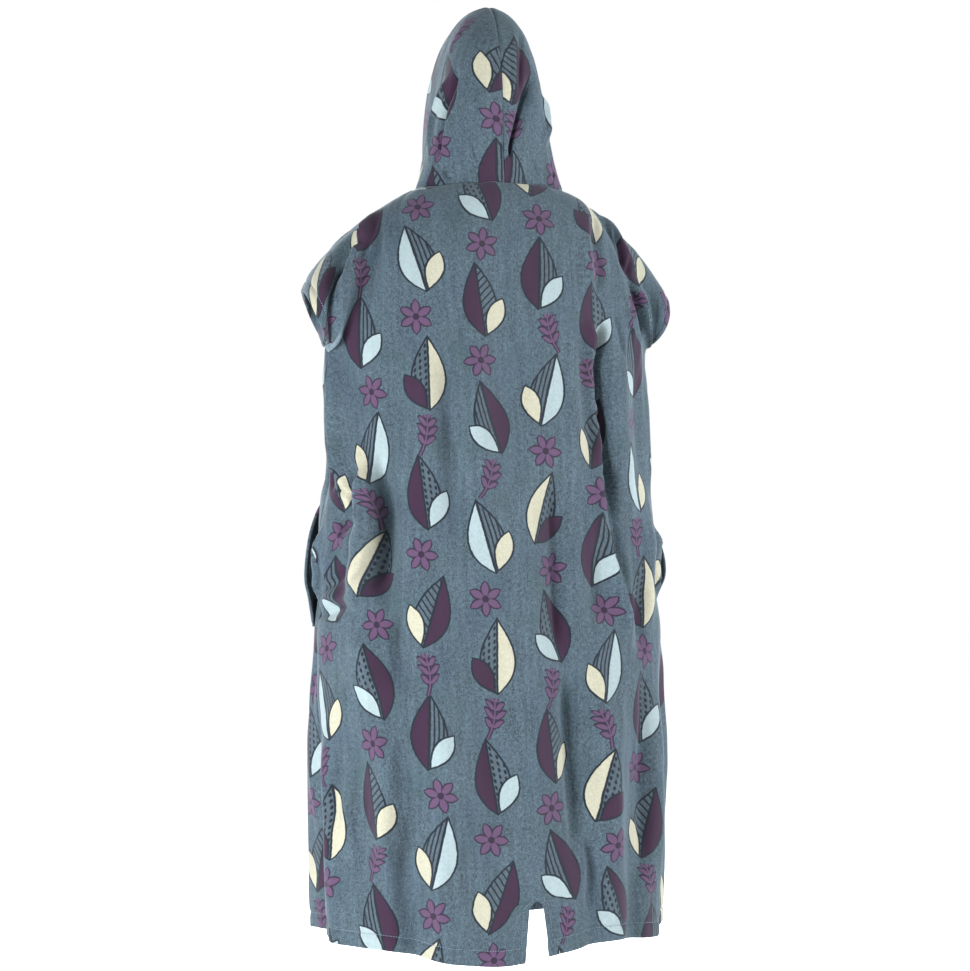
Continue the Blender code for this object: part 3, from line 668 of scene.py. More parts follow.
    def leaving(self, across: Array, panel: Panel) -> Array:
        """The handle with which each column of a panel leaves the top edge.

        Args:
            across: the columns' places.
            panel: which panel.

        Returns:
            The handles.
        """
        size = np.abs(across)
        way = -1.0 if panel is Panel.FRONT else 1.0
        middle = np.array(self.leave_neck_front if panel is Panel.FRONT else self.leave_neck_back)
        past_neck = smooth(size / self.neck_share)
        back_again = smooth((size - self.neck_share) / self.neck_turn_ends)
        turn = np.radians(self.neck_turn) * (past_neck - back_again)
        length = np.hypot(*middle) + (self.leave_shoulder - np.hypot(*middle)) * past_neck
        slope = middle[1] / np.hypot(*middle) * (1.0 - past_neck)
        level = np.sqrt(1.0 - slope**2)
        x = np.sign(across) * np.sin(turn) * level * length
        z = slope * length - self.sideways_drop * np.abs(x)
        near = smooth((size - self.top_follows_arm) / (1.0 - self.top_follows_arm))[..., None]
        straight = stacked(x, way * np.cos(turn) * level * length, z)
        return straight * (1.0 - near) + self.arm_swing(across, panel) * near

    def arriving(self, across: Array, panel: Panel) -> Array:
        """The handle with which each column reaches the ring under the arms.

        Args:
            across: the columns' places.
            panel: which panel.

        Returns:
            The handles.
        """
        size = np.abs(across)
        share = (size - self.chest_follows_arm) / (1.0 - self.chest_follows_arm)
        near = smooth(share)[..., None] ** self.chest_turn
        straight = stacked(0.0 * size, 0.0, self.rise_to_chest)
        return straight * (1.0 - near) + self.arm_swing(across, panel) * near

    def hem_height(self, angle: Array) -> Array:
        """The height of the hem at an angle round the body."""
        angles, heights = zip(*self.hem_line)
        return through(angles, heights, (np.asarray(angle, float) + 180.0) % 360.0 - 180.0)

    def fold_rise(self, angle: Array, down: Array) -> Array:
        """How far the broad folds raise the cloth.

        Args:
            angle: degrees round the body.
            down: distances down the cloth.

        Returns:
            The rise at each place.
        """
        rise = np.zeros(np.broadcast(angle, down).shape)
        for fold in self.folds:
            t = (down - fold.down_top) / (fold.down_bottom - fold.down_top)
            middle = fold.angle_top + (fold.angle_bottom - fold.angle_top) * np.clip(t, 0.0, 1.0)
            away = (angle - middle + 180.0) % 360.0 - 180.0
            top = smooth(t / self.fold_taper)
            bottom = 1.0 if fold.down_bottom >= -self.hem else smooth((1.0 - t) / self.fold_taper)
            rise = rise + fold.rise * top * bottom * bell(away, fold.spread)
        return rise

    def base_point(self, across: Array, down: Array, panel: Panel) -> Array:
        """The cloth's outer face without folds.

        Args:
            across: places across the panel.
            down: distances down it.
            panel: which panel.

        Returns:
            The points in metres.
        """
        angle = self.angle_of(across, panel)
        drop = -self.underarm
        t = np.clip(down / drop, 0.0, 1.0)[..., None]
        reach = self.soften_reach * smooth(down / drop / self.soften_depth)
        soft = sum(w * self.top_edge(across + step * reach, panel) for step, w in self.soften_weights)
        kept = smooth((np.abs(across) - self.soften_ends) / (1.0 - self.soften_ends))[..., None]
        top = soft * (1.0 - kept) + self.top_edge(across, panel) * kept
        waist = self.ring(angle, np.full(np.shape(angle), self.underarm))
        leaves, arrives = self.leaving(across, panel), self.arriving(across, panel)
        upper = cubic(top, top + leaves, waist + arrives, waist, t)
        share = np.clip((down - drop) / (-self.hem - drop), 0.0, self.past_hem)
        lower = self.ring(angle, self.underarm + (self.hem_height(angle) - self.underarm) * share)
        return np.where((down <= drop)[..., None], upper, lower)

    def base_frame(self, across: Array, down: Array, panel: Panel) -> tuple[Array, Array, Array]:
        """The directions of the cloth without folds.

        Args:
            across: places across the panel.
            down: distances down it.
            panel: which panel.

        Returns:
            The directions outward, leftward and downward.
        """
        step = self.frame_step
        side = np.clip(across, -1.0 + step, 1.0 - step)
        depth = np.maximum(down, step)
        over = self.base_point(side + step, depth, panel) - self.base_point(side - step, depth, panel)
        along = self.base_point(side, depth + step, panel) - self.base_point(side, depth - step, panel)
        outward = unit(np.cross(along, over) * (1.0 if panel is Panel.FRONT else -1.0))
        return outward, unit(over), unit(along)

    def arc_of(self, angle: Any) -> Array:
        """The way round a middling section of the body.

        Args:
            angle: degrees from the centre back.

        Returns:
            The metres from there to each angle.
        """
        turn = np.radians(np.arange(-360.0, 361.0, 1.0))
        speed = np.hypot(self.round_half_width * np.cos(turn), self.round_depth * np.sin(turn))
        steps = np.concatenate([[0.0], np.cumsum((speed[1:] + speed[:-1]) / 2 * np.radians(1.0))])
        return np.interp(angle, np.degrees(turn), steps - steps[len(steps) // 2])

    def point(self, across: Array, down: Array, panel: Panel) -> Array:
        """The cloth's outer face with its folds and wrinkles.

        Args:
            across: places across the panel.
            down: distances down it.
            panel: which panel.

        Returns:
            The points in metres.
        """
        angle = self.angle_of(across, panel)
        outward, leftward, downward = self.base_frame(across, down, panel)
        around = float(self.arc_of(180.0) - self.arc_of(-180.0))
        moves = self.creasing.moves(self.arc_of(angle), down, self.path_place, around)
        rise = self.fold_rise(angle, down) + moves[..., 0]
        round_way = -1.0 if panel is Panel.FRONT else 1.0
        points = self.base_point(across, down, panel) + outward * rise[..., None]
        return points + leftward * round_way * moves[..., 1:2] + downward * moves[..., 2:]

    def path_place(self, places: Array) -> Array:
        """A wrinkle's path in metres, the short way round.

        Args:
            places: its angles and depths.

        Returns:
            Its places round the body and down the cloth.
        """
        angles = places[:, 0].copy()
        angles[1:] += 360.0 * np.round((angles[0] - angles[1:]) / 360.0)
        return np.stack([self.arc_of(angles), places[:, 1]], axis=-1)


# -------- edges, walls and stitches
# Distances of the rows of points: from a hem's edge, beside its stitches, from a seam, and below the vent's top.
HEM_STEPS = (0.0, 0.0003, 0.0008, 0.0015, 0.0025, 0.0050, 0.0090, 0.0130)
BESIDE_STITCHES = (-0.0030, -0.0014, 0.0, 0.0014, 0.0030, 0.0070)
SEAM_STEPS = (0.0, 0.0005, 0.0011, 0.0018, 0.0027, 0.0040, 0.0060, 0.0090)
VENT_STEPS = (0.0, 0.0006, 0.0015, 0.0030, 0.0055, 0.0090)
# The distance given to points that no hem reaches.
FAR_FROM_EDGE = 0.1


@dataclass(frozen=True)
class Edges:
    """How cloth is finished at its edges: turned and stitched hems, and sewn seams."""

    cloth: float = 0.0024
    turned: float = 0.0044
    turned_fade: float = 0.002
    thinnest: float = 0.00005
    seam_dip: float = 0.0014
    seam_reach: float = 0.0024
    dip_below: float = 0.8
    seam_swell: float = 0.0005
    swell_at: float = 0.007
    swell_reach: float = 0.003
    stitch_inset: float = 0.002
    stitch_dip: float = 0.0019
    stitch_reach: float = 0.0030

    def line(self, allowance: float) -> float:
        """How far a hem's stitches are from its edge."""
        return allowance - self.stitch_inset

    def steps(self, allowance: float) -> list[float]:
        """Distances from a hem's edge for rows of points, with one exactly on its line of stitches."""
        beside = [self.line(allowance) + d for d in BESIDE_STITCHES]
        return [d for d in HEM_STEPS if d < beside[0]] + beside

    def hem(self, distance: Array, allowance: float) -> tuple[Array, Array]:
        """A turned-up hem: round at its edge, double, and drawn in along its stitches.

        Args:
            distance: how far each point is from the edge.
            allowance: the hem's width.

        Returns:
            How far the outer and the inner face lie under the form.
        """
        half = self.turned / 2
        near = np.clip(1.0 - np.maximum(distance, 0.0) / half, 0.0, 1.0)
        lip = half * (1.0 - np.sqrt(1.0 - near**2))
        dip = self.stitch_dip * np.exp(-(((distance - self.line(allowance)) / self.stitch_reach) ** 2))
        double = (self.turned - self.cloth) * (1.0 - smooth((distance - allowance) / self.turned_fade + 0.5))
        return lip + dip, self.cloth + double - lip - 0.5 * dip

    def seam(self, distance: Array) -> tuple[Array, Array]:
        """A seam: the faces turn in where two pieces meet, and swell beside it.

        Args:
            distance: how far each point is from the seam.

        Returns:
            How far the outer and the inner face lie under the form.
        """
        dip = self.seam_dip * np.exp(-((distance / self.seam_reach) ** 2))
        swell = self.seam_swell * np.exp(-(((distance - self.swell_at) / self.swell_reach) ** 2))
        return dip - swell, self.cloth + self.dip_below * dip


@dataclass(frozen=True)
class Stitch:
    """One stitch of thread: its length, half thickness and pitch.

    rings gives, for each ring of its points, the share of its length, the share of its radius, and how many radii
    it stands up or sinks in. proud is how many radii of it stand out of the cloth.
    """

    length: float = 0.0030
    radius: float = 0.00046
    pitch: float = 0.0038
    first: float = 0.75
    proud: float = 0.45
    sides: int = 5
    rings: tuple[Triple, ...] = ((-0.5, 0.25, -0.9), (-0.28, 1.0, 0.0), (0.28, 1.0, 0.0), (0.5, 0.25, -0.9))

    def row(self, points: Array, normals: Array) -> tuple[Array, list[tuple[int, ...]]]:
        """Stitches along a line on the cloth.

        Args:
            points: the line's points.
            normals: the cloth's outward direction at each.

        Returns:
            The stitches' points and faces.
        """
        lengths = np.concatenate([[0.0], np.cumsum(np.linalg.norm(np.diff(points, axis=0), axis=1))])
        count = max(int(lengths[-1] / self.pitch) - 1, 1)
        middles = (np.arange(count) + self.first) * self.pitch
        half = self.length / 2
        at = [np.interp(middles + move, lengths, points[:, k]) for move in (-half, half) for k in range(3)]
        ends = np.array(at).reshape(2, 3, -1).transpose(0, 2, 1)
        along = unit(ends[1] - ends[0])
        up = unit(np.stack([np.interp(middles, lengths, normals[:, k]) for k in range(3)], axis=-1))
        side = unit(np.cross(along, up))
        up = np.cross(side, along)
        middle = (ends[0] + ends[1]) / 2 + up * self.radius * self.proud
        verts, faces = [], []
        turns = np.arange(self.sides) * 2 * np.pi / self.sides
        for place, size, stand in self.rings:
            for turn in turns:
                offset = side * np.cos(turn) * size + up * (np.sin(turn) * size + stand)
                verts.append(middle + along * place * self.length + offset * self.radius)
        verts = np.array(verts).transpose(1, 0, 2).reshape(-1, 3)
        per = self.sides * len(self.rings)
        for n in range(count):
            for ring in range(len(self.rings) - 1):
                for k in range(self.sides):
                    a = n * per + ring * self.sides + k
                    b = n * per + ring * self.sides + (k + 1) % self.sides
                    faces.append((a, a + self.sides, b + self.sides, b))
            faces.append(tuple(n * per + k for k in range(self.sides)))
            faces.append(tuple(n * per + per - 1 - k for k in range(self.sides)))
        return verts, faces


@dataclass
class ClothGrid:
    """A grid of points on a piece's outer form.

    outward is the direction out of the cloth and uv the place on the flat cloth. sink and depth say how far the
    outer and the inner face lie under the form, and turned whether a hem's turned cloth is inside.
    """

    points: Array
    outward: Array
    uv: Array
    sink: Array
    depth: Array
    turned: Array

    def outer(self) -> Array:
        """The outer face."""
        return self.points - self.outward * self.sink[..., None]

    def inner(self) -> Array:
        """The inner face."""
        return self.points - self.outward * self.depth[..., None]

    def mirrored(self) -> "ClothGrid":
        """The same grid with its rows run the other way."""
        return ClothGrid(*[np.flip(values, 1) for values in vars(self).values()])


def grid_normals(points: Array, flip: bool) -> Array:
    """The outward direction at each point of a grid."""
    along, over = grid_slopes(points)
    return unit(np.cross(along, over)) * (1.0 if flip else -1.0)


def cloth_lengths(points: Array, row: int, column: int) -> Array:
    """Each point's place on the flat cloth, by the lengths of its row and column.

    Args:
        points: the grid.
        row: the row whose v is 0.
        column: the column whose u is 0.

    Returns:
        u and v in metres, v rising up the cloth.
    """
    steps_u = np.linalg.norm(np.diff(points, axis=1), axis=-1)
    steps_v = np.linalg.norm(np.diff(points, axis=0), axis=-1)
    u = np.concatenate([np.zeros((len(points), 1)), np.cumsum(steps_u, axis=1)], axis=1)
    v = np.concatenate([np.zeros((1, points.shape[1])), np.cumsum(steps_v, axis=0)], axis=0)
    return np.stack([u - u[:, column : column + 1], v[row : row + 1] - v], axis=-1)


def printed_places(
    base: Array, points: Array, row: int, column: int, share: float = 0.6, reaches: tuple[int, int] = (28, 20)
) -> Array:
    """Places on the flat cloth that follow the folds only as far as a woven grain can.

    Args:
        base: the grid without folds.
        points: the grid with them.
        row: the row whose v is 0.
        column: the column whose u is 0.
        share: how much of the folds' extra lengths the print follows.
        reaches: over how many rows and columns those lengths even out.

    Returns:
        u and v in metres.
    """
    plain, folded = cloth_lengths(base, row, column), cloth_lengths(points, row, column)
    extra = folded - plain
    for axis, reach in enumerate(reaches):
        kernel = np.hanning(2 * reach + 1)[1:-1]
        extra = np.apply_along_axis(softened, axis, extra, kernel / kernel.sum())
    return plain + share * extra


def finished(name: str, mesh: Any, materials: Sequence[Any]) -> Any:
    """Puts a mesh into the scene as a piece that hangs with the garment.

    Args:
        name: the piece's name.
        mesh: its mesh.
        materials: its materials.

    Returns:
        The piece's object.
    """
    for material in materials:
        mesh.materials.append(material)
    mesh.shade_smooth()
    piece = bpy.data.objects.new(name, mesh)
    bpy.context.scene.collection.objects.link(piece)
    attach(piece, "root")
    log.info("%s: %d faces", name, len(mesh.polygons))
    return piece


def wall(
    name: str, grids: Sequence[ClothGrid], numbers: Sequence[Array], flip: bool, materials: Sequence[Any]
) -> Any:
    """Makes a closed cloth wall from one or more grids.

    Args:
        name: the piece's name.
        grids: its grids.
        numbers: for each grid the numbers of its points, which grids can share.
        flip: whether the faces turn the other way to point outwards.
        materials: the outer face's and the inner face's.

    Returns:
        The piece's object.
    """
    count = max(int(n.max()) for n in numbers) + 1
    outer, inner, uv = np.zeros((count, 3)), np.zeros((count, 3)), np.zeros((count, 2))
    turned = np.zeros(count, bool)
    quads = []
    for grid, n in zip(grids, numbers):
        outer[n], inner[n], uv[n], turned[n] = grid.outer(), grid.inner(), grid.uv, grid.turned
        corners = np.stack([n[:-1, :-1], n[:-1, 1:], n[1:, 1:], n[1:, :-1]], axis=-1).reshape(-1, 4)
        quads.append(corners[:, ::-1] if flip else corners)
    faces = [tuple(dict.fromkeys(q)) for q in np.concatenate(quads).tolist()]
    uses: dict[tuple[int, int], int] = {}
    for face in faces:
        for a, b in zip(face, face[1:] + face[:1]):
            uses[(a, b)] = uses.get((a, b), 0) + 1
    rim = [(b, a, a + count, b + count) for a, b in uses if (b, a) not in uses]
    lining = [tuple(i + count for i in reversed(face)) for face in faces]
    mesh = bpy.data.meshes.new(name)
    mesh.from_pydata(np.concatenate([outer, inner]).tolist(), [], faces + lining + rim)
    plain = [0 if all(turned[i] for i in face) else 1 for face in faces]
    mesh.polygons.foreach_set("material_index", [0] * len(faces) + plain + [0] * len(rim))
    layer = mesh.uv_layers.new(name="cloth")
    loops = np.zeros(len(mesh.loops), int)
    mesh.loops.foreach_get("vertex_index", loops)
    layer.data.foreach_set("uv", np.concatenate([uv, uv])[loops].ravel())
    mesh.validate()
    return finished(name, mesh, materials)


def thread_piece(name: str, lines: Sequence[tuple[Array, Array]], material: Any, stitch: Stitch) -> Any:
    """Makes one object of all the stitches along several lines.

    Args:
        name: the piece's name.
        lines: each line's points and outward directions.
        material: the thread's.
        stitch: the stitch to repeat.

    Returns:
        The piece's object.
    """
    verts, faces, first = [], [], 0
    for points, normals in lines:
        line_verts, line_faces = stitch.row(points, normals)
        verts.append(line_verts)
        faces += [tuple(i + first for i in face) for face in line_faces]
        first += len(line_verts)
    mesh = bpy.data.meshes.new(name)
    mesh.from_pydata(np.concatenate(verts).tolist(), [], faces)
    return finished(name, mesh, [material])


def spread(start: float, stop: float, step: float) -> Array:
    """Even places from start to stop, both left out, about a step apart."""
    count = max(int(round(abs(stop - start) / step)), 1)
    return np.linspace(start, stop, count + 1)[1:-1]


# -------- the pieces
@dataclass(frozen=True)
class SewnPart:
    """What every sewn part needs: its form, edges and stitch, the cloth's two faces, and the thread's material."""

    form: BodyForm
    edges: Edges
    stitch: Stitch
    materials: tuple[Any, Any]
    thread: Any


@dataclass(frozen=True)
class BodyPanels(SewnPart):
    """The back with its vent, and the front: one cut piece each, hemmed at the arms, the vent and the foot.

    middle_width, shared_width and ring_width are half a panel's width: for the columns that run beside the middle
    line, for those that are shared out evenly, and for the gap at the side seams.
    """

    step: float = 0.0050
    row_step: float = 0.0050
    shoulder_crowding: float = 1.12
    middle_width: float = 0.41
    shared_width: float = 0.37
    ring_width: float = 0.24
    side_inset: float = 0.06
    side_rows: int = 9
    thickest: float = 0.0058
    change: float = 0.006
    stitches_from: int = 3
    foot_hem: float = 0.024
    arm_hem: float = 0.019
    vent_hem: float = 0.011
    vent_angle: float = -2.3
    vent_height: float = 0.082
    vent_top_half_width: float = 0.0092
    vent_spread: float = 0.0087
    vent_round: float = 0.10
    vent_reach: float = 15.0
    back_print: float = 0.40
    front_print: Pair = (0.13, 0.05)

    def rows(self) -> tuple[Array, dict[str, int]]:
        """Shares out a panel's rows.

        Returns:
            Their distances down the panel, and the numbers of those that matter.
        """
        form, hem = self.form, -self.form.hem
        drop = -form.underarm
        top = [form.seam_gap / 2 + d for d in SEAM_STEPS]
        shoulder = top[-1] + (drop - top[-1]) * (spread(0.0, 1.0, self.row_step / drop) ** self.shoulder_crowding)
        foot = [hem - d for d in reversed(self.edges.steps(self.foot_hem))]
        vent_top = hem - self.vent_height
        vent_rows = [vent_top + d for d in VENT_STEPS]
        lower = spread(drop, vent_top, self.row_step)
        beside = spread(vent_rows[-1], foot[0], self.row_step)
        down = np.concatenate([top, shoulder, [drop], lower, vent_rows, beside, foot])
        wanted = {"underarm": drop, "vent": vent_top, "foot_stitches": hem - self.edges.line(self.foot_hem)}
        return down, {name: int(np.argmin(np.abs(down - place))) for name, place in wanted.items()}

    def side_scale(self, down: Array, panel: Panel, side: float) -> Array:
        """Metres of cloth for one whole step across the panel, beside its edge.

        Args:
            down: the rows' distances down the panel.
            panel: which panel.
            side: -1 for the wearer's right edge, 1 for the left.

        Returns:
            The metres for each row, evened out over a few rows.
        """
        edge = self.form.base_point(np.full(down.shape, side), down, panel)
        inside = self.form.base_point(np.full(down.shape, side * (1.0 - self.side_inset)), down, panel)
        scale = np.linalg.norm(edge - inside, axis=-1) / self.side_inset
        return softened(scale, np.ones(self.side_rows) / self.side_rows)

    def half_columns(
        self, down: Array, panel: Panel, side: float, start: float, inner: Sequence[float]
    ) -> tuple[Array, Array, int]:
        """Places across the panel from a start line out to one side edge.

        Args:
            down: the rows' distances down the panel.
            panel: which panel.
            side: -1 for the wearer's right edge, 1 for the left.
            start: the start line's place across.
            inner: distances in metres from the start line for the first columns.

        Returns:
            The places, rows by columns, each row's metres from its side edge, and the arm hem's stitch column
            counted from that edge.
        """
        steps = self.edges.steps(self.arm_hem)
        scale = self.side_scale(down, panel, side)[:, None]
        near = start + side * (np.array(inner)[None, :] / self.middle_width)
        edge = side * (1.0 - np.array(steps[::-1])[None, :] / scale)
        count = int(round((self.shared_width - steps[-1]) / self.step))
        share = np.linspace(0.0, 1.0, count + 1)[None, 1:-1]
        first = near[:, -1:]
        between = first + (edge[:, :1] - first) * share
        across = np.concatenate([near + 0.0 * scale, between, edge], axis=1)
        far = np.full((1, near.shape[1] + between.shape[1]), FAR_FROM_EDGE)
        distance = np.concatenate([far, [steps[::-1]]], axis=1)
        return across, distance + 0.0 * scale, steps.index(self.edges.line(self.arm_hem))

    def within_seams(self, across: Array, down: Array) -> Array:
        """Keeps a panel's sides half a seam's gap from the side seams.

        Args:
            across: places across the panel.
            down: distances down it.

        Returns:
            The places across, held back below the arms.
        """
        held = self.form.seam_gap / 2 / self.ring_width
        limit = 1.0 - np.where(down > -self.form.underarm - 1e-6, held, 0.0)
        return np.clip(across, -limit, limit)

    def vent_room(self, across: Array, down: Array) -> Array:
        """How far the back moves aside to open its vent.

        Args:
            across: places across the back.
            down: distances down it.

        Returns:
            The move of each place, across.
        """
        share = np.clip((down + self.form.hem + self.vent_height) / self.vent_height, 0.0, 1.0)
        half = self.vent_top_half_width * np.sqrt(np.minimum(share / self.vent_round, 1.0))
        half = half + self.vent_spread * share
        quarter = np.radians(90.0) * self.form.ring(90.0, -down)[..., 0]
        away = np.abs(across * 90.0 - self.vent_angle) / self.vent_reach
        return half / quarter * (1.0 - smooth(away))

    def dress(self, down: Array, at_side: Array, at_slit: Array) -> tuple[Array, Array, Array]:
        """How deep the faces lie under the form at the panel's edges.

        Args:
            down: distances down the panel.
            at_side: metres from the side edge.
            at_slit: metres from the vent's edge.

        Returns:
            The outer face's and the inner face's depths, and whether the hem's turned cloth is inside.
        """
        edges, hem, cloth = self.edges, -self.form.hem, self.form.cloth
        arm_sink, arm_depth = edges.hem(at_side, self.arm_hem)
        seam_sink, seam_depth = edges.seam(at_side)
        below = smooth((down + self.form.underarm + self.change) / (2 * self.change))
        sink = arm_sink * (1.0 - below) + seam_sink * below
        depth = arm_depth * (1.0 - below) + seam_depth * below
        top_sink, top_depth = edges.seam(down)
        foot_sink, foot_depth = edges.hem(hem - down, self.foot_hem)
        slit = smooth((down - hem + self.vent_height) / self.change)
        slit_sink, slit_depth = edges.hem(at_slit, self.vent_hem)
        sink = np.maximum(sink + top_sink, np.maximum(foot_sink, slit_sink * slit))
        foot_in, slit_in = foot_depth - cloth, (slit_depth - cloth) * slit
        both = np.where(np.abs(foot_in) > np.abs(slit_in), foot_in, slit_in)
        inner = depth + (top_depth - cloth) + both
        inner = np.maximum(np.minimum(inner, self.thickest), sink + edges.thinnest)
        near_arm = (at_side < self.arm_hem) & (down < -self.form.underarm)
        turned = near_arm | (hem - down < self.foot_hem) | ((at_slit < self.vent_hem) & (slit > 0.5))
        return sink, inner, turned

    def back(self) -> None:
        """Makes the back panel in two halves that share a line of points above the vent, and its stitches."""
        down_rows, marks = self.rows()
        down = down_rows[:, None]
        start = self.vent_angle / 90.0
        slit_steps = self.edges.steps(self.vent_hem)
        shared = slice(0, marks["vent"] + 1)
        grids, numbers, arms, first = [], [], [], 0
        for side in (-1.0, 1.0):
            across, at_side, line = self.half_columns(down_rows, Panel.BACK, side, start, slit_steps)
            at_slit = np.full(across.shape, FAR_FROM_EDGE)
            at_slit[:, : len(slit_steps)] = slit_steps
            opened = self.within_seams(across + side * self.vent_room(across, down), down)
            depths = down + 0 * across
            points = self.form.point(opened, depths, Panel.BACK)
            if side > 0:
                points[shared, 0] = grids[0].points[shared, 0]
            base = self.form.base_point(across, depths, Panel.BACK)
            uv = printed_places(base, points, marks["underarm"], 0) * (side, 1.0) + (start * self.back_print, 0.0)
            grids.append(ClothGrid(points, grid_normals(points, side < 0), uv, *self.dress(depths, at_side, at_slit)))
            numbers.append(np.arange(across.size).reshape(across.shape) + first)
            first += across.size
            arms.append(-1 - line)
        mean = unit(grids[0].outward[shared, 0] + grids[1].outward[shared, 0])
        grids[0].outward[shared, 0] = mean
        grids[1].outward[shared, 0] = mean
        numbers[1][shared, 0] = numbers[0][shared, 0]
        sleeve = slice(self.stitches_from, marks["underarm"])
        foot, slit = marks["foot_stitches"], slit_steps.index(self.edges.line(self.vent_hem))
        lines = []
        for grid, arm in zip(grids, arms):
            for place in ((sleeve, arm), (foot, slice(slit, None)), (slice(marks["vent"], foot), slit)):
                lines.append((grid.outer()[place], grid.outward[place]))
        # both halves' columns run out from the vent, so the right half's are turned to run the left's way
        grids[0], numbers[0] = grids[0].mirrored(), np.flip(numbers[0], 1)
        piece = wall("back_panel", grids, numbers, False, self.materials)
        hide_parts("body_back")
        stitching = thread_piece("back_stitching", lines, self.thread, self.stitch)

    def front(self) -> None:
        """Makes the front panel and its stitches."""
        down_rows, marks = self.rows()
        down = down_rows[:, None]
        right, left = (self.half_columns(down_rows, Panel.FRONT, side, 0.0, [0.0]) for side in (-1.0, 1.0))
        across, at_side = (np.concatenate([np.flip(right[k], 1), left[k][:, 1:]], axis=1) for k in range(2))
        across = self.within_seams(across, down)
        depths = down + 0 * across
        points = self.form.point(across, depths, Panel.FRONT)
        outward = grid_normals(points, True)
        base = self.form.base_point(across, depths, Panel.FRONT)
        middle = int(np.argmin(np.abs(across[-1])))
        uv = printed_places(base, points, marks["underarm"], middle) * (-1.0, 1.0) + self.front_print
        grid = ClothGrid(points, outward, uv, *self.dress(depths, at_side, np.full(across.shape, FAR_FROM_EDGE)))
        numbers = np.arange(across.size).reshape(across.shape)
        piece = wall("front_panel", [grid], [numbers], True, self.materials)
        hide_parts("body_front")
        sleeve = slice(self.stitches_from, marks["underarm"])
        places = (marks["foot_stitches"], (sleeve, right[2]), (sleeve, -1 - left[2]))
        lines = [(grid.outer()[place], outward[place]) for place in places]
        stitching = thread_piece("front_stitching", lines, self.thread, self.stitch)


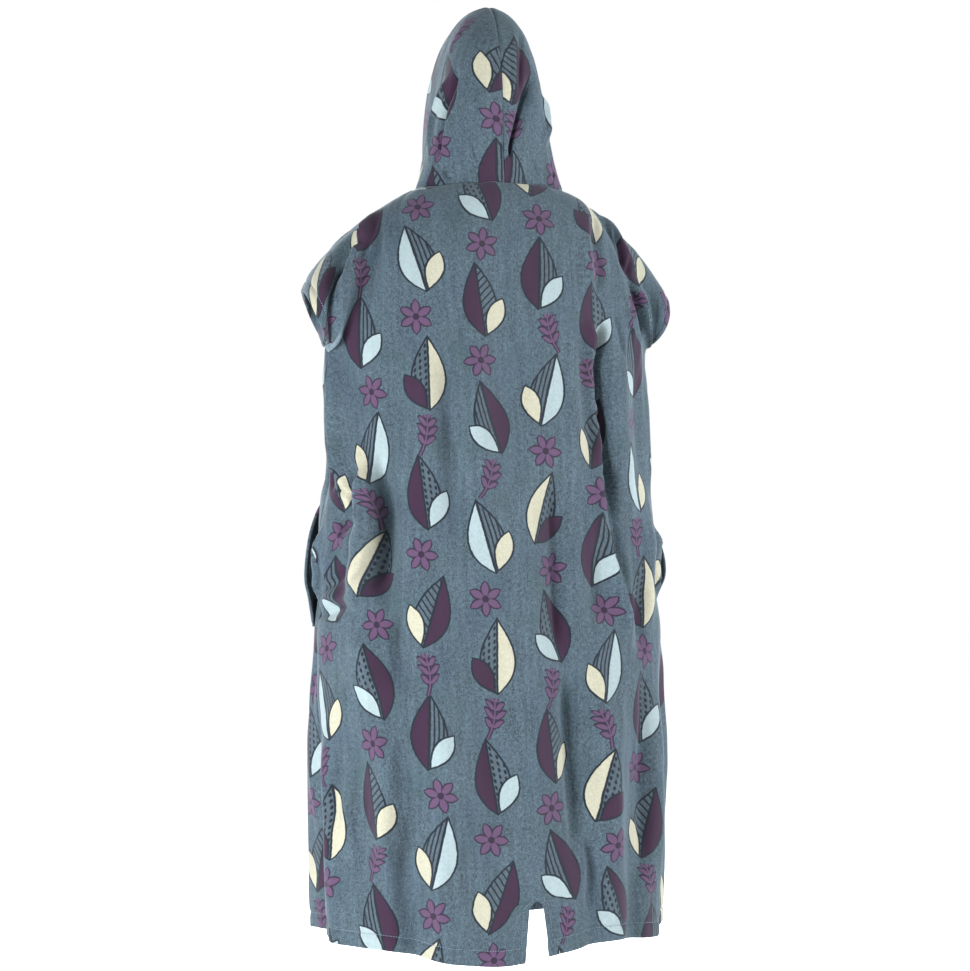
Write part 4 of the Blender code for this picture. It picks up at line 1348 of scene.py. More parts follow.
@dataclass(frozen=True)
class Pocket(SewnPart):
    """The wide patch pocket over the front, sewn along its top and foot, its mouths standing open."""

    step: float = 0.0042
    mouth_hem: float = 0.018
    seam_line: float = 0.004
    lip: float = 0.0012
    groove: float = 0.0007
    groove_reach: float = 0.002
    sewn_from: float = 0.004
    sewn_fade: float = 0.008
    rumple: float = 0.0016
    rumpling: tuple[float, ...] = (9.0, 5.0, 0.7, 4.3, 6.1)
    past_seam: Pair = (0.0055, 0.0085)
    stitches_from: int = 8
    front_print: Pair = (0.13, -0.165)
    seam_gap: float = 0.0007
    stands_out: float = 0.007
    hands_out: float = 0.015
    hands_at: float = 0.52
    hands_spread: float = 0.26
    flatness: float = 0.8
    mouth_power: float = 9.0
    reach: float = 0.33
    sides: tuple[Mouth, ...] = (
        Mouth(0.440, 56.0, 57.0, 0.000, 0.000),
        Mouth(0.462, 67.0, 69.0, 0.001, 0.008),
        Mouth(0.490, 75.0, 78.0, 0.006, 0.020),
        Mouth(0.520, 79.0, 82.0, 0.013, 0.028),
        Mouth(0.555, 80.0, 84.0, 0.019, 0.035),
        Mouth(0.585, 81.0, 84.0, 0.020, 0.033),
        Mouth(0.612, 82.0, 84.0, 0.011, 0.016),
        Mouth(0.650, 82.0, 84.0, 0.000, 0.000),
    )

    def build(self) -> None:
        """Makes the pocket and its stitches."""
        hem_steps = self.edges.steps(self.mouth_hem)
        side = np.array(hem_steps[::-1])
        inside = spread(0.0, self.reach - side[0], self.step)
        half = np.concatenate([inside / self.reach, 1.0 - side / self.reach])
        u = np.concatenate([-half[::-1], [0.0], half])[None, :]
        height = self.sides[-1].down - self.sides[0].down
        edge = [*HEM_STEPS[:5], self.seam_line, *self.past_seam]
        rows = [*edge, *spread(edge[-1], height - edge[-1], self.step), *[height - d for d in edge[::-1]]]
        v = np.array(rows)[:, None] / height
        u, v = np.broadcast_arrays(u, v)
        down = self.sides[0].down + height * v
        downs = column_of(self.sides, "down")
        names = ("half_angle_left", "half_angle_right", "out_left", "out_right")
        read = {name: through(downs, column_of(self.sides, name), down) for name in names}
        across = u * np.where(u > 0, read["half_angle_left"], read["half_angle_right"]) / 90.0
        near_mouth = np.abs(u) ** self.mouth_power
        hand = np.exp(-(((np.abs(u) - self.hands_at) / self.hands_spread) ** 2))
        full = (self.stands_out + self.hands_out * hand) * np.sin(np.pi * v) ** self.flatness
        out = full * (1.0 - near_mouth) + np.where(u > 0, read["out_left"], read["out_right"]) * near_mouth
        a, b, start, c, d = self.rumpling
        rumple = self.rumple * np.sin(a * u + b * v + start) * np.sin(c * v + d * u) * np.sin(np.pi * v)
        outward = self.form.base_frame(across, down, Panel.FRONT)[0]
        lift = self.seam_gap + out + rumple * (1.0 - near_mouth) + self.form.cloth
        points = self.form.point(across, down, Panel.FRONT) + outward * lift[..., None]
        at_mouth = (1.0 - np.abs(u)) * self.reach
        sink, depth = self.edges.hem(at_mouth, self.mouth_hem)
        at_seam = np.minimum(v, 1.0 - v) * height
        lip = self.lip * (1.0 - np.sqrt(1.0 - np.clip(1.0 - at_seam / self.lip, 0.0, 1.0) ** 2))
        groove = self.groove * np.exp(-(((at_seam - self.seam_line) / self.groove_reach) ** 2))
        sink = np.maximum(sink, lip + groove)
        sewn = smooth(1.0 - (at_seam - self.sewn_from) / self.sewn_fade)
        depth = np.minimum(depth * (1 - sewn) + self.form.cloth * sewn, self.form.cloth * 2) - lip
        depth = np.maximum(depth, sink + self.edges.thinnest)
        base = self.form.base_point(across, down, Panel.FRONT)
        uv = printed_places(base, base, 0, u.shape[1] // 2) * (-1.0, 1.0) + self.front_print
        normals = grid_normals(points, True)
        grid = ClothGrid(points, normals, uv, sink, depth, at_mouth < self.mouth_hem)
        numbers = np.arange(u.size).reshape(u.shape)
        piece = wall("front_pocket", [grid], [numbers], True, self.materials)
        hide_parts("pocket")
        line, seam = hem_steps.index(self.edges.line(self.mouth_hem)), edge.index(self.seam_line)
        tall, wide = slice(seam + 1, -seam - 1), slice(self.stitches_from, -self.stitches_from)
        places = ((tall, line), (tall, -1 - line), (seam, wide), (-1 - seam, wide))
        lines = [(grid.outer()[place], normals[place]) for place in places]
        stitching = thread_piece("pocket_stitching", lines, self.thread, self.stitch)


@dataclass(frozen=True)
class Hood(SewnPart):
    """The hood in two halves, joined along the middle of the head and sewn to the neck."""

    rib_count: int = 104
    rows: int = 66
    reach: Pair = (0.40, 0.26)
    fade: float = 0.10
    face_hem: float = 0.020
    seams_from: float = 0.1
    stitches_from: int = 2
    thickest: float = 0.0056
    tuck_in: float = 0.0008
    tuck_down: float = 0.0034
    tuck_reach: float = 0.008
    tuck_share: float = 0.03
    aside_power: int = 4
    left_print: Pair = (0.02, 0.09)
    right_print: Pair = (0.17, 0.02)
    coarse: tuple[int, int] = (27, 18)
    rounds: int = 700
    overstep: float = 1.2
    side_share: float = 0.9
    back_from: float = -0.02
    back_over: float = 0.11
    back_shift: float = 0.02
    links: tuple[tuple[int, int, float], ...] = (
        (0, 1, 1.0), (1, 0, 1.0), (1, 1, 0.6), (1, -1, 0.6), (2, 0, 0.4), (0, 2, 0.4)
    )
    ribs: tuple[Rib, ...] = (
        Rib(0.086, 0.004, 0.000, 0, 0.000, 0.000, 0.000, 0.000, 0.000),
        Rib(0.091, 0.066, 0.003, 30, 0.038, 0.000, 0.004, 0.006, 0.026),
        Rib(0.098, 0.138, 0.006, 52, 0.063, 0.002, 0.016, 0.012, 0.056),
        Rib(0.082, 0.210, 0.007, 72, 0.080, 0.004, 0.032, 0.012, 0.084),
        Rib(0.030, 0.264, 0.003, 92, 0.090, 0.012, 0.046, 0.004, 0.102),
        Rib(-0.038, 0.260, 0.003, 116, 0.088, 0.012, 0.030, -0.012, 0.120),
        Rib(-0.096, 0.224, 0.003, 180, 0.082, 0.012, -0.082, -0.034, 0.040),
    )
    left: Creasing = Creasing(
        wrinkles=(
            Wrinkle(
                ((0.49, 0.34), (0.47, 0.46), (0.48, 0.57), (0.45, 0.69), (0.39, 0.86)),
                -0.0135, 0.013, 0.011, taper=0.20,
            ),
            Wrinkle(((0.52, 0.45), (0.59, 0.59), (0.65, 0.72), (0.51, 0.85)), 0.0080, 0.016, 0.012, taper=0.25),
            Wrinkle(((0.22, 1.00), (0.28, 0.93), (0.35, 0.86)), -0.0060, 0.010, 0.010),
            Wrinkle(((0.63, 0.16), (0.63, 0.30), (0.65, 0.43)), 0.0030, 0.016, 0.016, taper=0.35),
            Wrinkle(((0.37, 0.15), (0.28, 0.22), (0.18, 0.29)), 0.0030, 0.020, 0.022, taper=0.35),
            Wrinkle(((0.27, 0.47), (0.18, 0.49), (0.10, 0.65)), -0.0030, 0.014, 0.014, taper=0.35),
        ),
        waves=(Wave(0.052, 0.31, 0.4, 0.3, 0.0007), Wave(0.023, 0.16, 0.7, 0.3, 0.0003)),
    )
    right: Creasing = Creasing(
        wrinkles=(
            Wrinkle(
                ((0.46, 0.33), (0.32, 0.22), (0.24, 0.18), (0.16, 0.14), (0.09, 0.10)),
                -0.0155, 0.016, 0.014, taper=0.20,
            ),
            Wrinkle(((0.51, 0.49), (0.46, 0.60), (0.24, 0.62)), 0.0080, 0.018, 0.014),
            Wrinkle(((0.60, 0.12), (0.43, 0.10), (0.31, 0.09)), 0.0030, 0.007, 0.007),
            Wrinkle(((0.63, 0.19), (0.43, 0.16), (0.31, 0.15)), -0.0040, 0.007, 0.007),
            Wrinkle(((0.61, 0.29), (0.55, 0.39), (0.50, 0.53)), -0.0040, 0.008, 0.010),
            Wrinkle(((0.32, 0.89), (0.40, 0.95), (0.52, 1.00)), -0.0050, 0.009, 0.009),
            Wrinkle(((0.18, 0.46), (0.17, 0.73), (0.19, 0.94)), -0.0030, 0.012, 0.012, taper=0.35),
        ),
        waves=(Wave(0.049, 0.29, 0.1, 0.3, 0.0007), Wave(0.021, 0.15, 0.2, 0.3, 0.0003)),
    )

    def rib(self, name: str, share: Array) -> Array:
        """One size of the ribs, from the nape at 0 to the face edge at 1."""
        return through(np.linspace(0.0, 1.0, len(self.ribs)), column_of(self.ribs, name), share)

    def base(self, share: Array, way: Array) -> Array:
        """One half of the hood on the wearer's left, without creases.

        Args:
            share: the way from the nape to the face edge, 0 to 1.
            way: the way from the middle seam to the neck seam, 0 to 1.

        Returns:
            The points in metres.
        """
        names = ("seam_y", "seam_z", "neck_angle", "out", "down", "lower_in", "lower_back", "lower_up")
        rib = {name: self.rib(name, share) for name in names}
        seam = stacked(0.0 * share, rib["seam_y"], rib["seam_z"])
        neck = self.form.neck_point(np.clip(rib["neck_angle"], 0.0, 180.0))
        out = seam + stacked(rib["out"], 0.0, -rib["down"])
        lower = neck + stacked(-rib["lower_in"], rib["lower_back"], rib["lower_up"])
        return cubic(seam, out, lower, neck, way[..., None])

    def flat_places(self, points: Array) -> Array:
        """Lays one half out flat, keeping the lengths between its points.

        It starts from the half seen from its side. Each round then pushes linked points of a coarse grid, apart or
        together, towards the length that lies between them in space, and the other points follow.

        Args:
            points: the half's grid in space.

        Returns:
            Each point's place on the flat cloth, upright as it is worn.
        """
        rows = np.linspace(0, points.shape[0] - 1, self.coarse[0]).round().astype(int)
        columns = np.linspace(0, points.shape[1] - 1, self.coarse[1]).round().astype(int)
        coarse = points[np.ix_(rows, columns)]
        back_share = np.clip((coarse[..., 1] - self.back_from) / self.back_over, 0.0, 1.0)
        flat = np.stack([coarse[..., 0] * self.side_share - coarse[..., 1], coarse[..., 2]], axis=-1)
        flat[..., 0] += self.back_shift * back_share
        for _ in range(self.rounds):
            push = np.zeros(flat.shape)
            weight = np.full(flat.shape[:2] + (1,), 1e-9)
            for i, j, share in self.links:
                rows_a = slice(0, flat.shape[0] - i)
                rows_b = slice(i, None)
                cols_a = slice(0, flat.shape[1] - j) if j >= 0 else slice(-j, None)
                cols_b = slice(j, None) if j >= 0 else slice(0, j)
                run = flat[rows_b, cols_b] - flat[rows_a, cols_a]
                length = np.linalg.norm(run, axis=-1, keepdims=True) + 1e-12
                wanted = np.linalg.norm(coarse[rows_b, cols_b] - coarse[rows_a, cols_a], axis=-1)[..., None]
                move = share * 0.5 * run * (1.0 - wanted / length)
                push[rows_a, cols_a] += move
                push[rows_b, cols_b] -= move
                weight[rows_a, cols_a] += share
                weight[rows_b, cols_b] += share
            flat = flat + push / weight * self.overstep
        full = np.zeros(points.shape[:2] + (2,))
        at_row, at_column = np.arange(points.shape[0]), np.arange(points.shape[1])
        for k in range(2):
            tall = np.stack([np.interp(at_row, rows, flat[:, j, k]) for j in range(len(columns))], axis=1)
            wide = [np.interp(at_column, columns, tall[i]) for i in range(points.shape[0])]
            full[..., k] = np.array(wide)
        return full

    def in_metres(self, places: Array) -> Array:
        """A wrinkle's shares of a half as metres."""
        return places * np.array(self.reach)

    def half(self, side: Side) -> None:
        """Makes one half of the hood and its stitches.

        Args:
            side: the wearer's side that it is on.
        """
        hem_steps = self.edges.steps(self.face_hem)
        hem_shares = 1.0 - np.array(hem_steps[::-1]) / self.reach[0]
        share = np.concatenate([np.linspace(0.0, 1.0, self.rib_count)[:-1] * hem_shares[0], hem_shares])
        seam = np.array(SEAM_STEPS) / self.reach[1]
        way = np.concatenate([seam, spread(seam[-1], 1.0 - seam[-1], 1.0 / self.rows), 1.0 - seam[::-1]])
        share, way = np.broadcast_arrays(share[:, None], way[None, :])
        creasing = self.left if side is Side.LEFT else self.right
        base = self.base(share, way)
        moves = creasing.moves(share * self.reach[0], way * self.reach[1], self.in_metres, 0.0)
        for place in (way, 1.0 - way, share, 1.0 - share):
            moves = moves * smooth(place / self.fade)[..., None]
        points = base + grid_normals(base, True) * moves[..., :1]
        flat = self.flat_places(points)
        normals = grid_normals(points, True)
        normals[:, 0] = unit(normals[:, 0] * (0, 1, 1))
        normals[0] = unit(normals[1:4].mean(axis=(0, 1)))
        at_middle, at_neck = way * self.reach[1], (1.0 - way) * self.reach[1]
        sink, depth = self.edges.hem((1.0 - share) * self.reach[0], self.face_hem)
        grown = smooth(share / self.seams_from)
        for distance in (at_middle, at_neck):
            seam_sink, seam_depth = self.edges.seam(distance)
            sink = sink + seam_sink * grown
            depth = depth + (seam_depth - self.edges.cloth) * grown
        depth = np.maximum(np.minimum(depth, self.thickest), sink + self.edges.thinnest)
        tuck = np.maximum(smooth(1.0 - at_neck / self.tuck_reach), 1.0 - smooth(share / self.tuck_share))
        points = points - normals * (self.tuck_in * tuck)[..., None] - stacked(0.0, 0.0, self.tuck_down * tuck)
        aside = self.rib("aside", share) * (1.0 - way**self.aside_power)
        mirror = np.array((side.value, 1.0, 1.0))
        gap = self.form.seam_gap
        points = points * mirror + stacked(aside + side.value * gap / 2, 0.0, gap)
        uv = flat * (side.value, 1.0) + (self.left_print if side is Side.LEFT else self.right_print)
        turned = (1.0 - share) * self.reach[0] < self.face_hem
        grid = ClothGrid(points, normals * mirror, uv, sink, depth, turned)
        numbers = np.arange(share.size).reshape(share.shape) - (share.shape[1] - 1)
        numbers[0] = 0
        name = "hood_half_" + side.name.lower()
        piece = wall(name, [grid], [numbers], side is Side.RIGHT, self.materials)
        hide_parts("hood_" + side.name.lower())
        line = (-1 - hem_steps.index(self.edges.line(self.face_hem)), slice(self.stitches_from, -self.stitches_from))
        lines = [(grid.outer()[line], grid.outward[line])]
        stitching = thread_piece(name + "_stitching", lines, self.thread, self.stitch)


# -------- finishes
@dataclass(frozen=True)
class Value:
    """A number that changes over a surface: a socket, with arithmetic that adds Math nodes."""

    nodes: "Nodes"
    socket: Any

    def math(self, operation: str, *others: Any) -> "Value":
        """One Math node with this value first."""
        return self.nodes.math(operation, self, *others)

    def __add__(self, other: Any) -> "Value":
        """Sum."""
        return self.math("ADD", other)

    def __radd__(self, other: Any) -> "Value":
        """Sum, from the right."""
        return self.math("ADD", other)

    def __sub__(self, other: Any) -> "Value":
        """Difference."""
        return self.math("SUBTRACT", other)

    def __rsub__(self, other: Any) -> "Value":
        """Difference, from the right."""
        return self.nodes.math("SUBTRACT", other, self)

    def __mul__(self, other: Any) -> "Value":
        """Product."""
        return self.math("MULTIPLY", other)

    def __rmul__(self, other: Any) -> "Value":
        """Product, from the right."""
        return self.math("MULTIPLY", other)

    def __truediv__(self, other: Any) -> "Value":
        """Quotient."""
        return self.math("DIVIDE", other)

    def __abs__(self) -> "Value":
        """Size without sign."""
        return self.math("ABSOLUTE")

    def max(self, other: Any) -> "Value":
        """The greater."""
        return self.math("MAXIMUM", other)

    def floor(self) -> "Value":
        """The whole number below."""
        return self.math("FLOOR")

    def wrap(self, length: float) -> "Value":
        """What is left after whole lengths are taken away."""
        return self.math("FLOORED_MODULO", length)

    def sine(self) -> "Value":
        """Its sine."""
        return self.math("SINE")

    def cosine(self) -> "Value":
        """Its cosine."""
        return self.math("COSINE")

    def step(self, low: float, high: float) -> "Value":
        """A smooth step.

        Args:
            low: where it is 0, which may be the greater of the two.
            high: where it is 1.

        Returns:
            The step's value.
        """
        if low > high:
            return 1.0 - self.step(high, low)
        inputs = {"Value": self, "From Min": low, "From Max": high}
        made = self.nodes.add("ShaderNodeMapRange", {"interpolation_type": "SMOOTHSTEP"}, inputs)
        return Value(self.nodes, made.outputs["Result"])


class Nodes:
    """The nodes of one material, made by type, settings and inputs."""

    def __init__(self, name: str) -> None:
        """Starts a material with a Principled shader.

        Args:
            name: the material's name.
        """
        self.material = bpy.data.materials.new(name)
        self.material.use_nodes = True
        self.tree = self.material.node_tree
        self.shader = self.tree.nodes["Principled BSDF"]

    def add(self, kind: str, settings: dict[str, Any], inputs: dict[Any, Any]) -> Any:
        """Adds a node.

        Args:
            kind: the node's type.
            settings: its properties, set first.
            inputs: values or links by socket name or number.

        Returns:
            The node.
        """
        node = self.tree.nodes.new(kind)
        for name, value in settings.items():
            setattr(node, name, value)
        for name, value in inputs.items():
            self.feed(node.inputs[name], value)
        return node

    def feed(self, socket: Any, value: Any) -> None:
        """Links a socket or sets its value.

        Args:
            socket: the socket.
            value: a number, a colour, a socket or a Value.
        """
        if isinstance(value, Value):
            value = value.socket
        if isinstance(value, bpy.types.NodeSocket):
            self.tree.links.new(value, socket)
        else:
            socket.default_value = value

    def math(self, operation: str, *values: Any) -> Value:
        """A Math node on values or numbers."""
        node = self.add("ShaderNodeMath", {"operation": operation}, dict(enumerate(values)))
        return Value(self, node.outputs[0])

    def noise(self, place: Any, scale: float, detail: float, roughness: float = 0.55) -> Value:
        """Noise from 0 to 1 at a place."""
        inputs = {"Vector": place, "Scale": scale, "Detail": detail, "Roughness": roughness}
        return Value(self, self.add("ShaderNodeTexNoise", {}, inputs).outputs["Fac"])

    def stretched(self, place: Any, by: Triple) -> Any:
        """A place with its parts multiplied."""
        return self.add("ShaderNodeVectorMath", {"operation": "MULTIPLY"}, {0: place, 1: by}).outputs[0]

    def mix(self, factor: Any, below: Any, above: Any, blend: str = "MIX") -> Any:
        """One colour laid over another.

        Args:
            factor: how much of it is laid on, 0 to 1.
            below: the colour below.
            above: the colour laid on.
            blend: how the two are blended.

        Returns:
            The mixed colour.
        """
        node = self.add("ShaderNodeMix", {"data_type": "RGBA", "blend_type": blend}, {0: factor})
        self.feed(node.inputs[6], below)
        self.feed(node.inputs[7], above)
        return node.outputs[2]

    def bump(self, strength: float, distance: float, height: Value) -> Any:
        """The surface's direction, raised by a height."""
        inputs = {"Strength": strength, "Distance": distance, "Height": height}
        return self.add("ShaderNodeBump", {}, inputs).outputs[0]

    def made(self, inputs: dict[str, Any]) -> Any:
        """Finishes the material.

        Args:
            inputs: values or links of the shader's sockets, by name.

        Returns:
            The material.
        """
        for name, value in inputs.items():
            self.feed(self.shader.inputs[name], value)
        return self.material


def dye(code: str) -> tuple[float, float, float, float]:
    """A colour as light.

    Args:
        code: its six-figure code.

    Returns:
        Its red, green, blue and cover.
    """
    parts = [int(code[i : i + 2], 16) / 255 for i in (0, 2, 4)]
    light = [p / 12.92 if p <= 0.04045 else ((p + 0.055) / 1.055) ** 2.4 for p in parts]
    return (*light, 1.0)


@dataclass(frozen=True)
class LeafPrint:
    """A printed repeat of split leaves, each with a bud at its foot, and small sprigs and blossoms between them.

    A size is a length and a half width. The leaf's and the bud's lengths are taken from their middles. An end or an
    edge gives two distances: where a form is gone, and up to where it is whole.
    """

    column: float = 0.090
    drop: float = 0.168
    second_shift: float = 0.5
    third_shift: float = 0.13
    soft: float = 0.0007
    line: float = 0.0014
    margin: float = 0.1
    leaf_place: Pair = (-0.006, -0.025)
    leaf_turn: float = 0.32
    leaf_size: Pair = (0.053, 0.0245)
    leaf_lean: float = 0.30
    leaf_end: Pair = (0.058, 0.055)
    ribbed_wider: float = 0.0015
    vein_pitch: float = 0.0098
    vein_slant: float = 0.8
    vein_line: float = 0.0015
    rib_pitch: float = 0.0066
    rib_fan: float = 150.0
    rib_start: float = 0.0020
    rib_line: float = 0.0013
    dot_pitch: Pair = (0.0078, 0.0092)
    dot_form: Pair = (1.4, 0.6)
    dot_edge: Pair = (0.0028, 0.0018)
    bud_place: Pair = (0.0195, -0.026)
    bud_turn: float = -0.58
    bud_size: Pair = (0.029, 0.0132)
    bud_lean: float = -0.2
    bud_end: Pair = (0.033, 0.031)
    small_up: float = 0.056
    small_aside: float = 0.011
    small_turn: float = -1.3
    stem_bend: float = 6.0
    stem_middle: float = -0.003
    stem_end: Pair = (0.0280, 0.0265)
    stem_width: float = 0.0011
    stem_line: float = 0.0033
    leaflet_size: Pair = (0.0190, 0.0132)
    leaflet_pitch: float = 0.0124
    leaflet_slant: float = 0.8
    leaflet_across: float = 0.78
    leaflet_along: float = 1.28
    leaflet_fade: float = 900.0
    leaflet_least: float = 0.02
    leaflet_line: float = 0.0022
    leaflets_middle: float = 0.004
    leaflets_end: Pair = (0.0235, 0.0215)
    petal_size: Pair = (0.0240, 0.0128)
    petal_line: float = 0.0023
    heart: float = 0.0032
    heart_edge: Pair = (0.0010, 0.0022)
    heart_line: Pair = (0.0018, 0.0004)
    plum: str = "48264C"
    purple: str = "7C5D87"
    small_line: str = "3A2947"
    cream: str = "FBFAE0"
    ice: str = "D8F2F9"
    navy: str = "172838"
    shaded: str = "6C7E8D"

    def lay(self, nodes: Nodes, u: Value, v: Value, cloth: Any) -> Any:
        """Lays the print over the cloth's colour.

        Args:
            nodes: the material's nodes.
            u: metres across the flat cloth.
            v: metres up it.
            cloth: the cloth's own colour.

        Returns:
            The printed colour.
        """
        column = (u / self.column).floor()
        lifted = v + column.wrap(2.0) * (self.drop * self.second_shift)
        lifted = lifted + column.wrap(3.0) * (self.drop * self.third_shift)
        row = (lifted / self.drop).floor()
        y = lifted - (row + 0.5) * self.drop
        parity = (column + row).wrap(2.0)
        x = (u - (column + 0.5) * self.column) * (parity * 2.0 - 1.0)
        kind = (column * 2.0 + row).wrap(5.0)
        turn = (kind * 2.3 + parity * 1.3 + 0.4).sine() * self.leaf_turn
        colour = self.leaf(nodes, x - self.leaf_place[0], y - self.leaf_place[1], turn, kind, cloth)
        aside = (kind * 3.1 + parity).sine() * self.small_aside
        small_x, small_y = self.turned(x - aside, y - self.small_up, turn * self.small_turn)
        sprig, sprig_line = self.sprig(small_x, small_y)
        blossom, blossom_line = self.blossom(small_x, small_y)
        other = self.below((column * 2.0 + row * 3.0).wrap(5.0), 2.5)
        filled = sprig * (1.0 - other) + blossom * other
        outline = sprig_line * (1.0 - other) + blossom_line * other
        colour = nodes.mix(outline, colour, dye(self.small_line))
        return nodes.mix(filled, colour, dye(self.purple))

    def turned(self, x: Value, y: Value, turn: Any) -> tuple[Value, Value]:
        """Turns a place about the motif's middle.

        Args:
            x: metres across.
            y: metres up.
            turn: how far it is turned.

        Returns:
            The two parts of the turned place.
        """
        if isinstance(turn, Value):
            c, s = turn.cosine(), turn.sine()
        else:
            c, s = math.cos(turn), math.sin(turn)
        return x * c + y * s, y * c - x * s

    def pointed(self, x: Value, y: Value, half_length: float, half_width: Any, lean: float) -> Value:
        """How far a place is outside a leaf with two points; below zero inside."""
        t = y / half_length
        return abs(x) - (1.0 - t * t) * (1.0 - t * lean) * half_width

    def under(self, distance: Value, limit: float = 0.0) -> Value:
        """1 where a distance is under a limit, with a soft edge."""
        return distance.step(limit + self.soft, limit - self.soft)

    def below(self, whole: Value, limit: float) -> Value:
        """1 where a whole number is below a limit."""
        return whole.step(limit + self.margin, limit - self.margin)

    def inked(self, edge: Value, half_line: float) -> Value:
        """A drawn line where a distance is near zero."""
        return abs(edge).step(half_line + self.soft, half_line - self.soft * 0.6)

    def leaf(self, nodes: Nodes, x: Value, y: Value, turn: Value, kind: Value, cloth: Any) -> Any:
        """A split leaf: one half filled, one half veined, dotted or ribbed, and a bud at its foot.

        Args:
            nodes: the material's nodes.
            x: metres across the motif.
            y: metres up the motif.
            turn: how far the motif is turned.
            kind: a whole number from 0 to 4, for its fills and marks.
            cloth: the colour below it.

        Returns:
            The colour with the leaf.
        """
        px, py = self.turned(x, y, turn)
        dotted = self.below(abs(kind - 1.5), 1.0)
        ribbed = 1.0 - self.below(kind, 2.5)
        creamy, icy = self.below(abs(kind - 2.0), 0.5), self.below(abs(kind - 3.0), 0.5)
        half_width = ribbed * self.ribbed_wider + self.leaf_size[1]
        edge = self.pointed(px, py, self.leaf_size[0], half_width, self.leaf_lean)
        inside, left = self.under(edge), self.under(px)
        slant = (py - abs(px) * self.vein_slant).wrap(self.vein_pitch) - self.vein_pitch / 2
        veins = self.under(abs(slant), self.vein_line)
        fanned = abs(px * (1.0 + py * py * self.rib_fan)) + self.rib_start
        fanned = fanned.wrap(self.rib_pitch) - self.rib_pitch / 2
        ribs = self.under(abs(fanned), self.rib_line)
        wide, tall = self.dot_pitch
        dots_x, dots_y = px.wrap(wide) - wide / 2, (py + px * 0.5).wrap(tall) - tall / 2
        dots = dots_x * dots_x * self.dot_form[0] + dots_y * dots_y * self.dot_form[1]
        dots = dots.math("SQRT").step(*self.dot_edge)
        marks = dots * dotted + ribs * ribbed + veins * (1.0 - dotted - ribbed)
        bud_x, bud_y = self.turned(px - self.bud_place[0], py - self.bud_place[1], self.bud_turn)
        bud_edge = self.pointed(bud_x, bud_y, *self.bud_size, self.bud_lean)
        fill = nodes.mix(creamy, nodes.mix(icy, dye(self.plum), dye(self.ice)), dye(self.cream))
        colour = nodes.mix(inside * 0.5, cloth, dye(self.shaded))
        colour = nodes.mix(inside * (1.0 - left) * marks, colour, dye(self.navy))
        colour = nodes.mix(inside * left, colour, fill)
        outline = self.inked(edge, self.line) * abs(py).step(*self.leaf_end)
        rib = self.inked(px, self.line) * inside
        colour = nodes.mix(outline.max(rib), colour, dye(self.navy))
        icy_bud = self.below(abs(abs(kind - 2.5) - 1.5), 0.5)
        tint = nodes.mix(creamy, nodes.mix(icy_bud, dye(self.cream), dye(self.ice)), dye(self.plum))
        colour = nodes.mix(self.under(bud_edge), colour, tint)
        bud_line = self.inked(bud_edge, self.line) * abs(bud_y).step(*self.bud_end)
        return nodes.mix(bud_line, colour, dye(self.navy))

    def sprig(self, x: Value, y: Value) -> tuple[Value, Value]:
        """A small sprig with paired leaflets on a bent stem.

        Args:
            x: metres across the motif.
            y: metres up the motif.

        Returns:
            Where it is filled, and where it is lined.
        """
        size = abs(x + y * y * self.stem_bend)
        rising = y - size * self.leaflet_slant
        pair = (rising / self.leaflet_pitch + 0.5).floor() * self.leaflet_pitch
        away = abs(rising - pair) * self.leaflet_across
        reach = (1.0 - pair * pair * self.leaflet_fade).max(self.leaflet_least) * self.leaflet_size[0]
        along = size * self.leaflet_along / reach
        leaflet = away - along * (1.0 - along) * self.leaflet_size[1]
        span = abs(pair - self.leaflets_middle).step(*self.leaflets_end)
        stem_span = abs(y - self.stem_middle).step(*self.stem_end)
        filled = (self.under(leaflet) * span).max(self.under(size, self.stem_width) * stem_span)
        lined = self.under(leaflet - self.leaflet_line) * span
        return filled, lined.max(self.under(size, self.stem_line) * stem_span)

    def blossom(self, x: Value, y: Value) -> tuple[Value, Value]:
        """A six-petalled blossom.

        Args:
            x: metres across the motif.
            y: metres up the motif.

        Returns:
            Where it is filled, and where it is lined.
        """
        sixth = math.pi / 3.0
        turn = y.math("ARCTAN2", x).wrap(sixth) - sixth / 2.0
        far = (x * x + y * y).math("SQRT")
        along = far * turn.cosine() / self.petal_size[0]
        away = abs(far * turn.sine())
        petal = away - along * (1.0 - along * along) * self.petal_size[1]
        heart = far - self.heart
        filled = self.under(petal) * heart.step(*self.heart_edge)
        lined = self.under(petal - self.petal_line).max(heart.step(*self.heart_line))
        return filled, lined


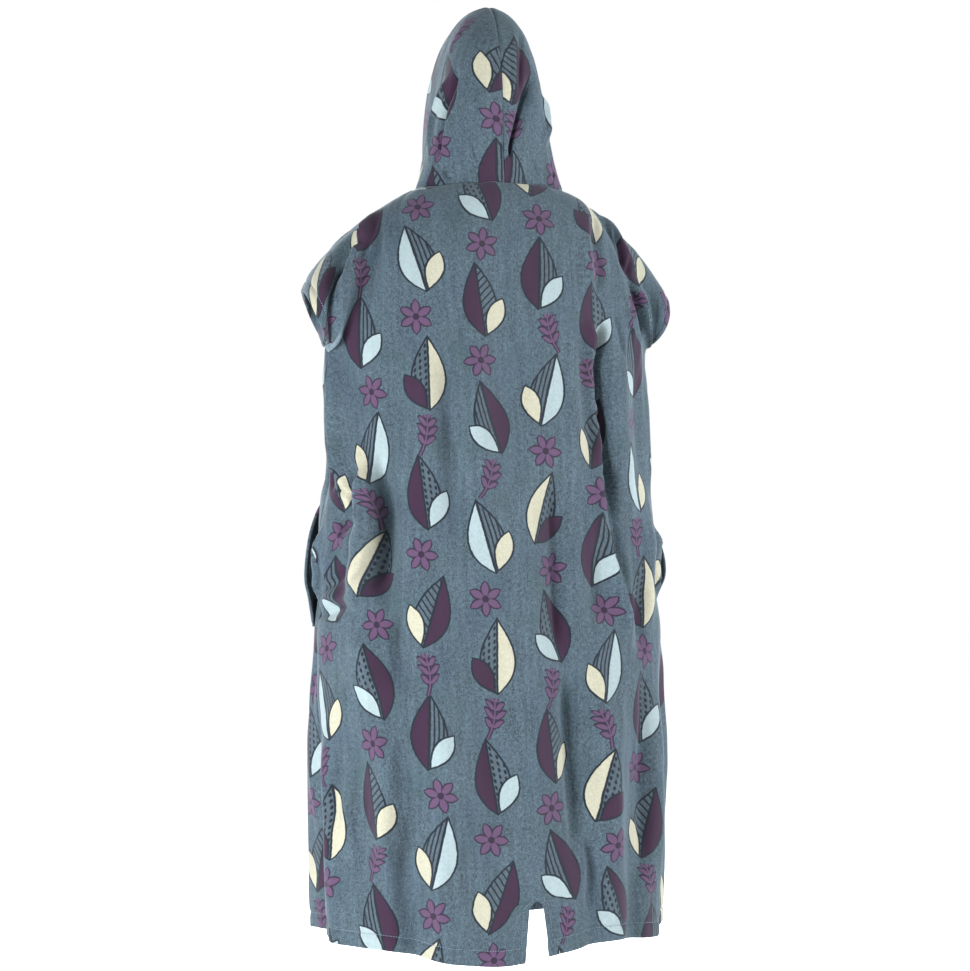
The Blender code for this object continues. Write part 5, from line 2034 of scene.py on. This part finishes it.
@dataclass(frozen=True)
class Velour:
    """Cotton velour: heathered, with a short soft nap, printed on its face."""

    name: str
    cloth: str = "4C6475"
    deep: str = "223241"
    light: str = "86A4B6"
    cool: str = "576E8C"
    green: str = "4A6D70"
    streak: Triple = (420.0, 170.0, 1.0)
    band: Triple = (130.0, 14.0, 1.0)
    fine: Triple = (440.0, 3.0, 0.75)
    mottle: Pair = (190.0, 2.0)
    drift: Pair = (14.0, 2.0)
    contrast: Pair = (0.33, 0.72)
    flatter: float = 0.15
    printed: Optional[LeafPrint] = None
    waver: float = 0.0016
    nap: float = 0.0005
    depth: str = "7B7B7B"

    def make(self) -> Any:
        """Makes the finish.

        Returns:
            Its material.
        """
        nodes = Nodes(self.name)
        flat = nodes.add("ShaderNodeUVMap", {"uv_map": "cloth"}, {}).outputs["UV"]
        parts = nodes.add("ShaderNodeSeparateXYZ", {}, {"Vector": flat}).outputs
        streaked = nodes.stretched(flat, self.streak)
        streaks = nodes.noise(streaked, 1.0, 2.0)
        bands = nodes.noise(nodes.stretched(flat, self.band), 1.0, 2.0)
        fine, mottle, drift = (nodes.noise(flat, *sizes) for sizes in (self.fine, self.mottle, self.drift))
        shade = streaks * 0.20 + fine * 0.48 + mottle * 0.18 + bands * 0.14 + drift * 0.06
        colour = nodes.mix(shade.step(*self.contrast), dye(self.deep), dye(self.light))
        colour = nodes.mix(self.flatter, colour, dye(self.cloth))
        for scale, low, high, most, tint in ((11.0, 0.42, 0.72, 0.30, self.cool), (17.0, 0.48, 0.74, 0.40, self.green)):
            colour = nodes.mix(nodes.noise(flat, scale, 3.0).step(low, high) * most, colour, dye(tint))
        if self.printed:
            u = Value(nodes, parts["X"]) + (nodes.noise(flat, 150.0, 1.0) - 0.5) * self.waver
            v = Value(nodes, parts["Y"]) + (nodes.noise(streaked, 0.3, 1.0) - 0.5) * self.waver
            colour = self.printed.lay(nodes, u, v, colour)
        worn = nodes.mix((shade * 0.9 + 0.05).step(0.30, 0.72), dye("C4C4C4"), dye("FFFFFF"))
        colour = nodes.mix(0.8, colour, worn, "MULTIPLY")
        colour = nodes.mix(1.0, colour, dye(self.depth), "MULTIPLY")
        sheen = {"Sheen Weight": 0.14, "Sheen Roughness": 0.45, "Sheen Tint": dye("B9CBD6")}
        normal = nodes.bump(0.5, self.nap, fine * 0.6 + streaks * 0.4 + mottle * 0.3)
        rough = shade * 0.12 + 0.86
        inputs = {"Base Color": colour, "Roughness": rough, "Specular IOR Level": 0.20, "Normal": normal}
        return nodes.made({**inputs, **sheen})


@dataclass(frozen=True)
class Thread:
    """Matt cotton sewing thread, a little paler than the cloth."""

    colour: str = "4C5B66"
    shaded: str = "323E48"
    twist: float = 2200.0
    relief: float = 0.0002

    def make(self) -> Any:
        """Makes the finish.

        Returns:
            Its material.
        """
        nodes = Nodes("sewing_thread")
        place = nodes.add("ShaderNodeTexCoord", {}, {}).outputs["Object"]
        ply = nodes.noise(place, self.twist, 1.0)
        colour = nodes.mix(ply, dye(self.shaded), dye(self.colour))
        normal = nodes.bump(0.4, self.relief, ply)
        return nodes.made({"Base Color": colour, "Roughness": ply * 0.2 + 0.7, "Normal": normal})


# -------- studio
@dataclass(frozen=True)
class Lamp:
    """One soft light: where it stands round the garment, and how large and strong it is."""

    name: str
    azimuth: float
    elevation: float
    distance: float
    size: float
    power: float


@dataclass(frozen=True)
class Studio:
    """A pale floor, soft lights and the camera.

    view is the view's width and height, centre the place in it that the lens points at, and focal the lens's focal
    length, all in dots of the view. sensor is the camera's sensor width in millimetres.
    """

    azimuth: float = 163.0
    aim: Triple = (0.0, 0.0, -0.425)
    distance: float = 3.45
    sensor: float = 36.0
    view: Pair = (970.0, 971.0)
    centre: Pair = (487.0, 480.0)
    focal: float = 2340.0
    floor_height: float = -1.47
    floor_radius: float = 9.0
    floor_glow: float = 0.10
    sky: float = 1.0
    lamps: tuple[Lamp, ...] = (
        Lamp("key", 124.0, -8.0, 2.7, 0.9, 240.0),
        Lamp("fill", 243.0, 14.0, 2.8, 1.2, 235.0),
        Lamp("front_right", -32.0, 8.0, 3.2, 1.4, 90.0),
        Lamp("front_left", 22.0, 8.0, 3.2, 1.4, 90.0),
    )

    def stand(self, data: Any, azimuth: float, elevation: float, distance: float) -> Any:
        """Stands a light or the camera round the garment's middle and aims it there.

        Args:
            data: the light or camera.
            azimuth: degrees round the garment from its front.
            elevation: degrees above its middle.
            distance: metres from there.

        Returns:
            The object.
        """
        a, e = math.radians(azimuth), math.radians(elevation)
        way = Vector((math.sin(a) * math.cos(e), -math.cos(a) * math.cos(e), math.sin(e)))
        made = bpy.data.objects.new(data.name, data)
        made.location = Vector(self.aim) + way * distance
        made.rotation_euler = (Vector(self.aim) - made.location).to_track_quat("-Z", "Y").to_euler()
        bpy.context.scene.collection.objects.link(made)
        return made

    def build(self) -> None:
        """Makes the floor, the lights and the camera."""
        bpy.ops.object.select_all(action="DESELECT")
        spot = (0.0, 0.0, self.floor_height)
        bpy.ops.mesh.primitive_circle_add(vertices=96, radius=self.floor_radius, fill_type="NGON", location=spot)
        floor = bpy.context.object
        floor.name = "floor"
        pale, white = (0.90, 0.90, 0.90, 1.0), (1.0, 1.0, 1.0, 1.0)
        glow = {"Emission Color": white, "Emission Strength": self.floor_glow}
        floor.data.materials.append(Nodes("pale_floor").made({"Base Color": pale, "Roughness": 0.9, **glow}))
        for lamp in self.lamps:
            data = bpy.data.lights.new(lamp.name, "AREA")
            data.size, data.energy = lamp.size, lamp.power
            self.stand(data, lamp.azimuth, lamp.elevation, lamp.distance)
        world = bpy.data.worlds.new("studio")
        world.use_nodes = True
        backdrop = world.node_tree.nodes["Background"].inputs
        backdrop["Color"].default_value, backdrop["Strength"].default_value = white, self.sky
        bpy.context.scene.world = world
        bpy.context.scene.view_settings.view_transform = "Standard"
        data = bpy.data.cameras.new("camera")
        width, height = self.view
        data.lens = self.sensor * self.focal / width
        data.shift_x, data.shift_y = (width / 2 - self.centre[0]) / width, (self.centre[1] - height / 2) / width
        bpy.context.scene.camera = self.stand(data, self.azimuth, 0.0, self.distance)
        log.info("studio: %d lights", len(self.lamps))


def main() -> None:
    """Builds the garment's pieces, then the studio."""
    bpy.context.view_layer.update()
    face = Velour("printed_velour", printed=LeafPrint()).make()
    inside = Velour("velour_inside", cloth="6D8492", deep="54666F", light="8EA5B2", depth="A0A0A0").make()
    shared = (BodyForm(), Edges(), Stitch(), (face, inside), Thread().make())
    panels = BodyPanels(*shared)
    panels.back()
    panels.front()
    Pocket(*shared).build()
    hood = Hood(*shared)
    for side in Side:
        hood.half(side)
    Studio().build()


if __name__ == "__main__":
    logging.basicConfig(level=logging.INFO, format="%(message)s")
    main()
